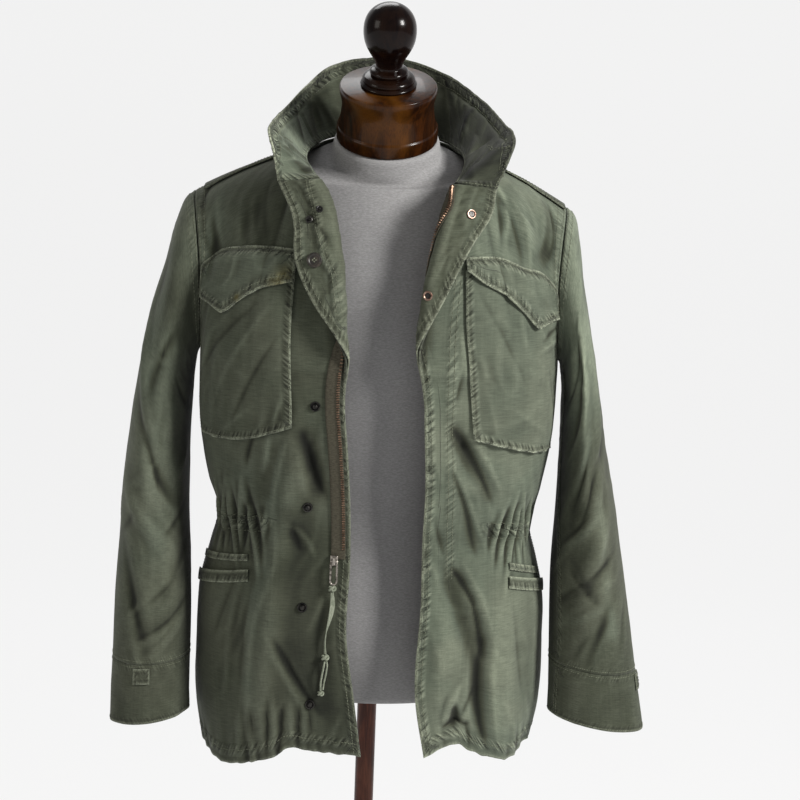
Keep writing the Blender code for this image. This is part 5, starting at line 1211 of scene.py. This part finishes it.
seams = [edge_seam(collar, "high", (-0.0025, -0.0150), 1.5),
         Seam(collar.edge("low")[::3] + np.array((0.0, 0.003)), (0.0,)),
         Seam(collar.edge("first")[::-3] + np.array((0.003, 0.0)), (0.0,)),
         Seam(collar.edge("last")[::3] - np.array((0.003, 0.0)), (0.0,))]
# Painted light: the collar is painted darker from about a quarter of its length on, counted from
# the right front's end.
shell("collar", collar, COLLAR_WALL, LINING, seams=seams, worn_edges="high first last",
      painted_strokes=COLLAR_LIGHT_AND_SHADE, painted_light=1.05 - 0.78 * ramp(collar_share, 0.27, 0.55), sewn=False)
slits = [Seam(straight(*slit), (-0.0015, 0.0015)) for slit in SLITS]
sew("collar_stitches_inside", collar, seams + slits, face=-1, wall=COLLAR_WALL)
sew("collar_stitches_outside", collar, seams[:2])

# Sleeves and cuffs. The long seam's place round the sleeve changes on its way down.
SLEEVE_SEAM = Profile(measures("mt", "0 300, 200 80, 312 153, 421 381, 535 420, 594 343, 630 330"))


def ring_seam(where, rows, rib):
    """A seam round a sleeve, the given distance down it."""
    return Seam(straight(0.0, where, 2 * math.pi * GIRTH, where, 90), rows, rib)


for side in (RIGHT, LEFT):
    name = SIDE[side]
    skin = sleeve_skin(side, 0.0012, SLEEVE_END - SEAM, 160)
    down = np.linspace(0.030, CUFF_END, 80)
    turned_by = SLEEVE_SEAM(down)[:, 0]
    turned_by = turned_by if side == LEFT else 2 * math.pi * GIRTH - turned_by
    long_seam = np.stack((turned_by, down), -1)
    # Painted shade on the inner side of each sleeve, where it faces the body.
    inner = ramp(np.cos(skin.u / GIRTH + 0.2), 0.72, 1.0) * ramp(skin.v, 0.03, 0.12)
    inner = inner * ramp(-skin.v, -0.58, -0.46)
    # Painted light: the right sleeve is painted darker lower down, the left one much darker below
    # its top.
    painted_light = (0.55 - 0.12 * ramp(skin.v, 0.30, 0.55) if side == RIGHT
            else 1.06 - 0.66 * ramp(skin.v, 0.10, 0.28))
    shell(f"sleeve_{name}", skin, CLOTH, painted_strokes=SLEEVE_LIGHT_AND_SHADE[side],
          seams=[ring_seam(0.003, (0.0, 0.0058), 0.35),
                 ring_seam(SLEEVE_END - 0.004, (0.0,), 0.3),
                 Seam(long_seam[down < SLEEVE_END - 0.002], EACH_SIDE, 0.8)],
          painted_light=painted_light * (1 - 0.62 * inner))
    skin = sleeve_skin(side, SLEEVE_END + SEAM, CUFF_END, 34)
    wave = 0.0016 * unevenness(skin.u, 0 * skin.v, 0.03, 95 + side)
    skin.lift(wave * ramp(skin.v, 0.59, CUFF_END))
    shell(f"cuff_{name}", skin, CLOTH, worn_edges="high",
          seams=[ring_seam(SLEEVE_END + 0.0035, (0.0,), 0.4),
                 ring_seam(CUFF_END - 0.0025, (0.0,), 0.5),
                 Seam(long_seam[down > SLEEVE_END], EACH_SIDE, 0.8)],
          painted_light=0.39 if side == RIGHT else 0.42)
    # The small square tab over the cuff's seam.
    turn = (83, 107) if side == RIGHT else (153, 177)
    span, up = np.radians(np.linspace(*turn, 26)) * GIRTH, np.linspace(0.5605, 0.5800, 18)
    points, _ = skin.at(span[None, :], up[:, None], GAP + STRIP + 0.0003)
    tab = Skin(points, span[None, :], up[:, None], flip=side > 0)
    border = np.array(((span[0], up[0]), (span[-1], up[0]), (span[-1], up[-1]), (span[0], up[-1]),
                       (span[0], up[0])))
    box = walk(border, np.linspace(0, length_of(border), 60))
    shell(f"cuff_tab_{name}", tab, STRIP, seams=[Seam(box, (0.0024,), 0.6)],
          worn_edges="low high first last", painted_light=0.46)


# ---------------------------------------------------------------- pockets
POCKET_FRONT, POCKET_TOP, POCKET_HEAD, POCKET_LOW = 0.070, 1.310, 0.013, 1.120
POCKET_IN = {RIGHT: (0.062, 0.050), LEFT: (0.057, 0.040)}
POCKET_FOOT = {
    RIGHT: Profile(measures("cm", "0 1133, 35 1116, 80 1110, 100 1112")),
    LEFT: Profile(measures("cm", "0 1126, 35 1114, 70 1105, 100 1104")),
}
FLAP_TOP = {
    RIGHT: Profile(measures("cm", "0 1334, 50 1331, 85 1320, 100 1306")),
    LEFT: Profile(measures("cm", "0 1332, 36 1328, 50 1320, 76 1312, 100 1294")),
}
FLAP_FOOT = {
    RIGHT: Profile(measures("mt", """
        0 12980, 270 12840, 440 12690, 545 12578, 575 12560, 605 12575, 720 12630, 1000 12750""")),
    LEFT: Profile(measures("mt", """
        0 13160, 120 13030, 350 12830, 500 12650, 595 12525, 620 12505, 650 12515, 780 12560,
        1000 12630""")),
}
POCKET_BULGE = 0.006
POCKET_CREASES = {
    RIGHT: measures("mmmmmtm", """
        80 1262 150 1165 10 20 4, 66 1235 126 1145 9 -20 4, 100 1262 176 1190 9 -18 3,
        62 1180 82 1140 7 16 0, 150 1240 190 1180 9 16 0, 110 1150 150 1118 8 16 2"""),
    LEFT: measures("mmmmmtm", """
        148 1236 180 1246 6 -22 2, 140 1224 184 1232 6 18 2, 60 1285 110 1200 10 -18 3,
        100 1160 150 1130 10 16 0, 70 1180 82 1125 9 16 2, 160 1190 186 1130 9 -16 0"""),
}


class Heights:
    """Looks up the level, and the pockets' outer reach, from a height on one front."""

    def __init__(self, side):
        self.levels = np.linspace(ARMPIT, TOP, 33)
        self.across = np.linspace(0, 0.24, 49)
        rows = [bare_row(side, level, False) for level in self.levels]
        self.heights = np.array([walk(row, self.across)[:, 2] for row in rows])
        self.reach_levels = np.linspace(1.08, TOP - 0.01, 41)
        self.reach = [self.outer(bare_row(side, level, False)) for level in self.reach_levels]

    @staticmethod
    def outer(row):
        steps = np.linalg.norm(np.diff(row, axis=0), axis=1)
        travelled = np.concatenate(((0.0,), np.cumsum(steps)))
        behind = travelled[-row[:, 1] < POCKET_FRONT]
        found = behind[behind > travelled[-1] / 2]
        limit = travelled[-1] - 0.004
        return min(float(found[0]), limit) if len(found) else limit

    def level_over(self, across, height):
        if height <= ARMPIT:
            return height
        place_in = np.interp(across, self.across, np.arange(len(self.across)))
        low = min(int(place_in), len(self.across) - 2)
        part = place_in - low
        column = self.heights[:, low] * (1 - part) + self.heights[:, low + 1] * part
        return float(np.interp(height, column, self.levels))

    def spot(self, side, share, height):
        low, high = POCKET_IN[side]
        inner = low + (high - low) * (height - POCKET_LOW) / (POCKET_TOP - POCKET_LOW)
        level = level_at(height)
        for _ in range(3):
            outer = np.interp(level, self.reach_levels, self.reach)
            across = inner + (outer - inner) * share
            level = self.level_over(across, height)
        return across, level


def pocket_lift(share, rise):
    """How far a chest pocket bulges."""
    swell = math.sin(math.pi * min(max(share, 0.0), 1.0)) ** 0.7
    upright = math.sin(math.pi * (0.10 + 0.76 * min(max(rise, 0.0), 1.0)))
    return POCKET_BULGE * swell * upright


def laid_skin(side, heights_of, lift_of, rows, columns):
    """A piece laid on a front: its heights and lifts by share of width and of height."""
    look = Heights(side)
    across, level, height, lift = (np.zeros((rows, columns)) for _ in range(4))
    for i, rise in enumerate(np.linspace(0, 1, rows)):
        for j, share in enumerate(np.linspace(0, 1, columns)):
            height[i, j] = heights_of(share, rise)
            across[i, j], level[i, j] = look.spot(side, share, height[i, j])
            lift[i, j] = lift_of(share, rise, height[i, j])
    points, _ = FRONT[side].at(across, level, lift)
    return Skin(points, across, height, flip=side < 0)


STAINS = measures("mmtc", "68 1290 100 75, 60 1305 90 45, 117 1274 42 75, 115 1262 30 50")
for side in (RIGHT, LEFT):
    name = SIDE[side]

    def pocket_height(share, rise):
        foot = float(POCKET_FOOT[side](share)[0])
        return foot + (float(FLAP_TOP[side](share)[0]) - POCKET_HEAD - foot) * rise

    def pocket_rise(share, rise, height):
        curl = 0.0012 * math.exp(-rise / 0.03) * (1 + math.sin(31 * share + side))
        return GAP + STRIP + 0.0010 + pocket_lift(share, rise) + curl

    skin = laid_skin(side, pocket_height, pocket_rise, 96, 80)
    inside = ramp(edge_gap(skin, "low first last"), 0.002, 0.014)
    skin.lift(creases(skin.line(), POCKET_CREASES[side]) * inside)
    skin.lift(rumple(skin, 50 + side, 0.0010, 0.0005) * inside)
    shell(f"chest_pocket_{name}", skin, STRIP, worn_edges="low first last",
          seams=[edge_seam(skin, "first", (0.0022,)), edge_seam(skin, "low", (0.0026,)),
                 edge_seam(skin, "last", (0.0022,))],
          painted_light=0.52 if side == RIGHT else 0.82)

    def flap_height(share, rise):
        foot, top = float(FLAP_FOOT[side](share)[0]), float(FLAP_TOP[side](share)[0])
        return foot + (top - foot) * rise

    def flap_rise(share, rise, height):
        foot, top = float(FLAP_FOOT[side](share)[0]), float(FLAP_TOP[side](share)[0])
        over = (height - POCKET_LOW) / (top - POCKET_HEAD - POCKET_LOW)
        full = pocket_lift(share, over) + STRIP + 0.0018
        curl = 0.0016 * math.exp(-(height - foot) / 0.006) * (1 + 0.8 * math.sin(23 * share))
        return GAP + STRIP + 0.0006 + (full + curl) * float(ramp(top - height, 0.001, 0.014))

    skin = laid_skin(side, flap_height, flap_rise, 44, 84)
    inside = ramp(edge_gap(skin, "low high first last"), 0.002, 0.012)
    skin.lift(rumple(skin, 55 + side, 0.0012, 0.0008) * inside + 0.0004)
    stain = np.zeros(skin.u.shape)
    if side == RIGHT:
        for middle_u, middle_v, size, depth in STAINS:
            away = np.hypot(skin.u - middle_u, skin.v - middle_v)
            stain += depth * np.exp(-(away / size) ** 2)
        stain = np.clip(stain * (0.8 + 0.3 * unevenness(skin.u, skin.v, 0.004, 3)), 0, 0.85)
    shell(f"chest_flap_{name}", skin, STRIP, worn_edges="low high first last",
          seams=[edge_seam(skin, "low", (0.0022, 0.0080)),
                 edge_seam(skin, "high", (-0.0022, -0.0080)),
                 edge_seam(skin, "first", (0.0024,)), edge_seam(skin, "last", (0.0024,))],
          painted_light=0.66 if side == RIGHT else 0.82,
          stain=stain, wear_and_sheen=0.03)

# Hip pockets: near and far ends of the band's and the welt's upper edge, and their height.
HIP = {
    ("band", RIGHT): (0.125, 0.974, 0.236, 0.954, 0.008),
    ("band", LEFT): (0.110, 0.972, 0.190, 0.950, 0.008),
    ("welt", RIGHT): (0.122, 0.957, 0.246, 0.929, 0.014),
    ("welt", LEFT): (0.108, 0.957, 0.205, 0.933, 0.014),
}
for (kind, side), (near_u, near_v, far_u, far_v, tall) in HIP.items():
    share, rise = np.linspace(0, 1, 60)[None, :], np.linspace(0, 1, 10)[:, None]
    across = near_u + (far_u - near_u) * share + 0 * rise
    level = near_v + (far_v - near_v) * share - tall * (1 - rise)
    bow = 0.0016 if kind == "welt" else 0.0004
    lift = GAP + STRIP + 0.0005 + bow * np.sin(math.pi * rise / 2) * np.ones_like(share)
    points, _ = FRONT[side].at(across, level, lift)
    skin = Skin(points, across, level, flip=side < 0)
    rows = (0.0018,) if kind == "welt" else (0.0016, 0.0062)
    shell(f"hip_{kind}_{SIDE[side]}", skin, STRIP, seams=[edge_seam(skin, "low", rows)],
          worn_edges="high low",
          painted_light=0.52 if side == RIGHT else 0.80, wear_and_sheen=0.04)

# ---------------------------------------------------------------- shoulder straps
def surface(skins):
    """One tree over the outer faces of several skins."""
    points, faces = [], []
    for skin in skins:
        rows, columns = skin.u.shape
        index = np.arange(rows * columns).reshape(rows, columns) + len(points)
        faces += corners(index).tolist()
        points += skin.points.reshape(-1, 3).tolist()
    return BVHTree.FromPolygons(points, faces)


shoulders = surface((FRONT[RIGHT], FRONT[LEFT], back))


def height_over(x, y):
    """The height of the cloth over a place on the shoulders."""
    found = []
    for nudge in (0.0, 0.003, -0.003):
        hit = shoulders.ray_cast(Vector((x, y + nudge, 1.6)), Vector((0, 0, -1)))[0]
        if hit is not None:
            found.append(hit.z)
    return max(found)


STRAP_FROM, STRAP_TO, STRAP_HALF = 0.100, 0.213, (0.021, 0.026)
BUTTON = measures("tt", "78 0, 84 6, 86 14, 82 24, 72 28, 60 26, 52 18, 10 16")
for side in (RIGHT, LEFT):
    name = SIDE[side]
    share, wing = np.linspace(0, 1, 60), np.linspace(-1, 1, 22)
    out = STRAP_FROM + (STRAP_TO - STRAP_FROM) * share
    wide = (STRAP_HALF[0] + (STRAP_HALF[1] - STRAP_HALF[0]) * share)
    wide = wide * (0.35 + 0.65 * np.clip(share * 7 / 1.5, 0, 1))
    y = wing[:, None] * wide[None, :]
    height = np.array([[height_over(side * x, spot) for x, spot in zip(out, line)] for line in y])
    smoothed = height.copy()
    for _ in range(3):
        smoothed[1:-1, 1:-1] = (smoothed[:-2, 1:-1] + smoothed[2:, 1:-1] + smoothed[1:-1, :-2]
                                + smoothed[1:-1, 2:]) / 4
    height = np.maximum(height, smoothed) + GAP + 0.0012 + STRIP
    points = np.stack((np.broadcast_to(side * out, y.shape), y, height), -1)
    strap = Skin(points, np.broadcast_to(out, y.shape), y, flip=side < 0)
    shell(f"shoulder_strap_{name}", strap, STRIP, worn_edges="low high first", painted_light=0.46,
          seams=[edge_seam(strap, "low", (0.0020, 0.0076)),
                 edge_seam(strap, "high", (-0.0020, -0.0076)),
                 edge_seam(strap, "first", (0.0022,))])
    spot, axis = strap.at(np.array([0.117]), np.array([0.0]), GAP)
    lathe(f"strap_button_{name}_horn", BUTTON, HORN, spot[0], axis[0], 32,
          f"strap_button_{name}")

# ---------------------------------------------------------------- zip
ZIP_FOOT, TAPE_WALL = 0.980, 0.0010
TAPES = {RIGHT: (0.006, 0.022), LEFT: (0.034, 0.048)}


TOOTH = (0.0042, 0.0015, 0.0020)        # across, along and out of the tape
TOOTH_SIDES = ((0, 1, 3, 2), (4, 6, 7, 5), (0, 4, 5, 1), (2, 3, 7, 6), (0, 2, 6, 4), (1, 5, 7, 3))


def teeth(name, centres, ups, outs):
    """A small block with a narrower head at each centre."""
    block = np.array([(x, y, z) for x in (-1, 1) for y in (-1, 1) for z in (-1, 1)], float) / 2
    block = np.where(block[:, 2:3] > 0, block * np.array((0.72, 0.72, 1.0)), block)
    block = block * np.array(TOOTH)
    rights = np.cross(ups, outs)
    points = (centres[:, None] + block[None, :, :1] * rights[:, None]
              + block[None, :, 1:2] * ups[:, None] + block[None, :, 2:] * outs[:, None])
    faces = np.array(TOOTH_SIDES)[None] + 8 * np.arange(len(centres))[:, None, None]
    made = add_mesh(name, points, faces.reshape(-1, 4).tolist(), BRASS)
    made.data.shade_flat()


for side in (RIGHT, LEFT):
    name = SIDE[side]
    near_edge, far_edge = TAPES[side]
    last = ARMPIT + 0.035 if side == RIGHT else TOP - 0.006
    level = np.linspace(ZIP_FOOT, last, 200)
    under = FRONT[side] if side == RIGHT else FACE[side]
    start = np.interp(level, under.v[:, 0], under.u[:, 0])
    share = np.linspace(0, 1, 9)
    high_up = ramp(level, 1.27, 1.35) if side == LEFT else 0 * level
    across = ((start + near_edge + 0.0115 * high_up)[:, None]
              + (far_edge - near_edge - 0.006 * high_up)[:, None] * share[None, :])
    levels = np.broadcast_to(level[:, None], across.shape)
    rib = 0.0004 * np.cos(2 * math.pi * share * 4)[None, :]
    points, _ = under.at(across, levels, TAPE_WALL + GAP + 0.0003 + rib)
    tape = Skin(points, across, levels, flip=under.flip)
    shell(f"zip_tape_{name}", tape, TAPE_WALL, TAPE)
    row = np.arange(ZIP_FOOT + (0.012 if side == RIGHT else 0.0), last - 0.006, 0.0028)
    column = np.interp(row, level, across[:, 0]) + 0.0020
    centre, out = tape.at(column, row, 0.0007)
    ahead_of, _ = tape.at(column, row + 0.001, 0.0007)
    teeth(f"zip_teeth_{name}", centre, unit(ahead_of - centre), out)

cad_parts["zip_slider"].data.materials[0] = STEEL

# ---------------------------------------------------------------- fasteners on the cloth
STUD = measures("tt", "54 0, 58 4, 58 10, 53 18, 45 19, 38 12, 30 10, 27 30, 22 35, 4 36")
RING = measures("tt", "50 0, 54 4, 55 10, 50 18, 42 19, 34 13, 30 4, 4 3")
SNAP = measures("tt", "40 0, 42 5, 41 13, 34 19, 26 18, 18 12, 12 26, 3 27")
SOCKET = measures("tt", "31 0, 30 9, 8 8")
HOLE = measures("tt", "8 14, 7 19, 2 18")


def fasten(node, material, skin, across, level, profile, finish):
    """A turned fastener on a skin. Gives back its place and the way it faces."""
    spot, axis = skin.at(np.array([across]), np.array([level]), 0.0004)
    lathe(f"{node}_{material}", profile, finish, spot[0], axis[0], 36, node)
    return spot[0], axis[0]


for number, (across, level) in enumerate(
        ((0.033, 1.159), (0.049, 1.040), (0.052, 0.922), (0.053, 0.803)), 1):
    fasten(f"stud_{number}", "brass", FRONT[RIGHT], across, level, STUD, BLACK)
TRIM = (("snap_high_right", RIGHT, -0.0205, 1.378, SNAP, BLACK, "blackened_brass"),
        ("snap_edge_right", RIGHT, -0.0362, 1.368, SNAP, BLACK, "blackened_brass"),
        ("liner_button_right", RIGHT, -0.0394, 1.324, BUTTON, HORN, "dark_button"),
        ("snap_ring_high_left", LEFT, -0.0354, 1.380, RING, COPPER, "worn_copper"),
        ("snap_ring_low_left", LEFT, -0.0158, 1.290, RING, COPPER, "worn_copper"))
for name, side, across, height, profile, finish, slot in TRIM:
    spot, axis = fasten(name, "metal", FACE[side], across, level_at(height), profile, finish)
    if finish is COPPER:
        lathe(f"{name}_socket", SOCKET, BLACK, spot, axis, 28)
    if finish is HORN:
        axis = Vector(axis)
        aside = axis.orthogonal().normalized()
        other = axis.cross(aside)
        for k, (a, b) in enumerate(((1, 1), (1, -1), (-1, 1), (-1, -1))):
            hole = Vector(spot) + (aside * a + other * b) * 0.0013
            lathe(f"{name}_hole_{k}", HOLE, THREAD, hole, axis, 12)

# ---------------------------------------------------------------- the zip's pull
PIN = Vector((-0.0415, -0.1532, 0.979))
LOOP_HALF, LOOP_LENGTH, LEAN = 0.0036, 0.0270, 0.10
KNOT_HIGH = (-0.0425, -0.1560, 0.9472)
KNOT_MID = (-0.0480, -0.1592, 0.8650)
KNOT_LOW = (-0.0520, -0.1592, 0.8210)
foot = LOOP_LENGTH - LOOP_HALF
loop = [(-LOOP_HALF, 0), (0, 0), (LOOP_HALF, 0), (LOOP_HALF, -0.3 * foot), (LOOP_HALF, -foot)]
for k in range(1, 12):
    angle = math.pi * k / 12
    loop.append((LOOP_HALF * math.cos(angle), -foot - LOOP_HALF * math.sin(angle)))
loop += [(-LOOP_HALF, -foot), (-LOOP_HALF, -0.3 * foot)]
wire("zip_pull_loop_wire", [PIN + Vector((x, z * LEAN, z)) for x, z in loop], 0.0013, STEEL,
     True, "zip_pull_loop")


def knot(node, centre, size):
    """A tied knot: three turns of cord wound over each other."""
    made = []
    for k in range(90):
        t = 2 * math.pi * k / 90
        bend = 0.62 + 0.30 * math.cos(3 * t)
        made.append(Vector(centre) + Vector((size * bend * math.cos(2 * t),
                                             0.75 * size * bend * math.sin(2 * t),
                                             0.62 * size * math.sin(3 * t) * 0.8)))
    return wire(f"{node}_tied", made, size * 0.34, PULL, True, node)


knot("pull_knot_high", KNOT_HIGH, 0.0040)
knot_mid = knot("pull_knot_mid", KNOT_MID, 0.0040)
knot_low = knot("pull_knot_low", KNOT_LOW, 0.0034)
CORD_ROUTES = {
    "pull_cord_front": measures("ttt", """
        -484 -1602 8604, -494 -1625 8540, -510 -1632 8440, -522 -1622 8340, -521 -1601 8250"""),
    "pull_cord_back": measures("ttt", """
        -462 -1592 8603, -456 -1588 8540, -468 -1585 8440, -486 -1585 8340, -496 -1587 8256"""),
}
for name, route in CORD_ROUTES.items():
    curve = Profile([(k, *point) for k, point in enumerate(route)])
    points = [tuple(curve(4 * k / 24)) for k in range(25)]
    cord = wire(f"{name}_cotton", points, 0.0011, PULL, False, name)

# The flat tape between the high and the middle knot, turned over on its way.
TAPE_HALF, TAPE_THICK = 0.0034, 0.0010
start, end = np.array(KNOT_HIGH) - (0, 0, 0.0040), np.array(KNOT_MID) + (0, 0, 0.0036)
lines, centres = [], []
for t in np.linspace(0, 1, 61):
    centre = start * (1 - t) + end * t + np.array((0.0020 * math.sin(2 * math.pi * t), 0, 0))
    half = TAPE_HALF * (0.45 + 0.55 * math.sin(math.pi * min(t * 1.15 + 0.02, 1.0)))
    turn = math.radians(150) * t - math.radians(10)
    across = np.array((math.cos(turn), 0.75 * math.sin(turn), 0.0))
    lines.append([centre + across * half * w for w in np.linspace(-1, 1, 9)])
    centres.append(centre)
grid = np.array(lines)
ribbon = Skin(grid, np.linspace(-TAPE_HALF, TAPE_HALF, 9)[None, :],
              np.linspace(0, 0.075, 61)[:, None])
both = np.array([ribbon.points + ribbon.normals * out
                 for out in (TAPE_THICK / 2, -TAPE_THICK / 2)])
index = np.arange(grid.size // 3).reshape(grid.shape[:2])
tape = add_mesh("pull_tape_cotton", both, walled(index, index + index.size).tolist(), PULL,
                "zip_pull", "pull_tape")

# ---------------------------------------------------------------- dress form and stand
LEAN_ANGLE = math.radians(24)
NECK_BASE = np.array((0.0, 0.0, 1.415))
NECK_AXIS = np.array((0.0, -math.sin(LEAN_ANGLE), math.cos(LEAN_ANGLE)))
FORM = measures("tmmdd", """
    7900 150 100 0 10, 7970 160 110 0 10, 8600 168 118 0 10, 9300 156 110 0 10,
    10100 142 102 0 10, 11000 152 110 0 10, 12000 166 120 0 10, 12800 170 118 0 10,
    13350 170 106 0 11, 13700 168 94 0 13, 13950 163 83 1 17, 14100 154 77 3 22,
    14180 139 71 6 24, 14258 118 67 9 22, 14295 96 65 10 15, 14323 79 65 10 11""")
NECK_RINGS = measures("tt", "220 660, 300 635, 380 625, 430 610, 445 590")
angles = np.arange(96) * 2 * math.pi / 96
torso = Profile([(k, *row) for k, row in enumerate(FORM)])
rings = []
for key in np.linspace(0, len(FORM) - 1, 4 * (len(FORM) - 1) + 1):
    height, half_width, depth, lean, power = torso(key)
    tilt = LEAN_ANGLE * lean
    wave = np.sin(angles)
    behind = depth * np.sign(wave) * abs(wave) ** power
    rings.append(np.stack((half_width * np.cos(angles), behind * math.cos(tilt) - 0.008 * lean,
                           height + behind * math.sin(tilt)), -1))
across = np.array((0.0, math.cos(LEAN_ANGLE), math.sin(LEAN_ANGLE)))
for along, radius in NECK_RINGS:
    centre = NECK_BASE + NECK_AXIS * along
    rings.append(centre + radius * (np.cos(angles)[:, None] * np.array((1, 0, 0))
                                    + np.sin(angles)[:, None] * across))
add_mesh("form_torso_linen", np.array(rings), tube_faces(len(rings), 96), LINEN,
         node="form_torso")

CAP = measures("tt", """
    560 0, 586 12, 592 35, 592 145, 584 170, 574 182, 569 205, 555 260, 541 340, 533 430,
    540 500, 553 555, 562 600, 563 635, 557 662, 545 670""")
cap_base = NECK_BASE + NECK_AXIS * 0.0448
lathe("neck_cap_wood", CAP, MAHOGANY, cap_base, NECK_AXIS, 128, "neck_cap", 3)
FINIAL = measures("tt", """
    306 0, 322 10, 325 24, 312 40, 300 50, 304 66, 303 86, 286 110, 250 126, 207 135, 218 150,
    222 166, 218 184, 200 200, 170 212, 155 226, 156 255, 168 295, 190 338, 216 382, 242 428,
    266 474, 286 530, 297 585, 302 640, 300 700, 290 760, 268 820, 234 872, 188 916, 130 950,
    66 968, 4 973""")
lathe("finial_wood", FINIAL, EBONY, cap_base + NECK_AXIS * 0.0673, NECK_AXIS, 96,
      "finial", 2)
BASE = measures("tt", """
    1610 0, 1640 12, 1650 40, 1650 140, 1638 175, 1612 205, 1580 220, 1200 234, 600 260,
    420 278, 340 296, 320 300, 200 300""")
lathe("base_wood", BASE, MAHOGANY, sides=128, node="base", steps=2)
POLE = measures("tt", "120 303, 120 2000, 120 4500, 120 7897")
lathe("pole_wood", POLE, POLEWOOD, sides=48, node="pole")

# ---------------------------------------------------------------- floor and backdrop
WALL_START, COVE = 2.6, 1.6             # where the floor bends up, and the bend's radius
sweep = [(-6.0, 0.0), (WALL_START, 0.0)]
sweep += [(WALL_START + COVE * math.sin(a), COVE - COVE * math.cos(a))
          for a in np.linspace(0.1, math.pi / 2, 16)] + [(WALL_START + COVE, 7.0)]
points = [(x, y, z) for x in (-7.0, 7.0) for y, z in sweep]
count = len(sweep)
faces = [(k, k + count, k + count + 1, k + 1) for k in range(count - 1)]
floor = add_mesh("floor", points, faces, BACKDROP.material, body=None)
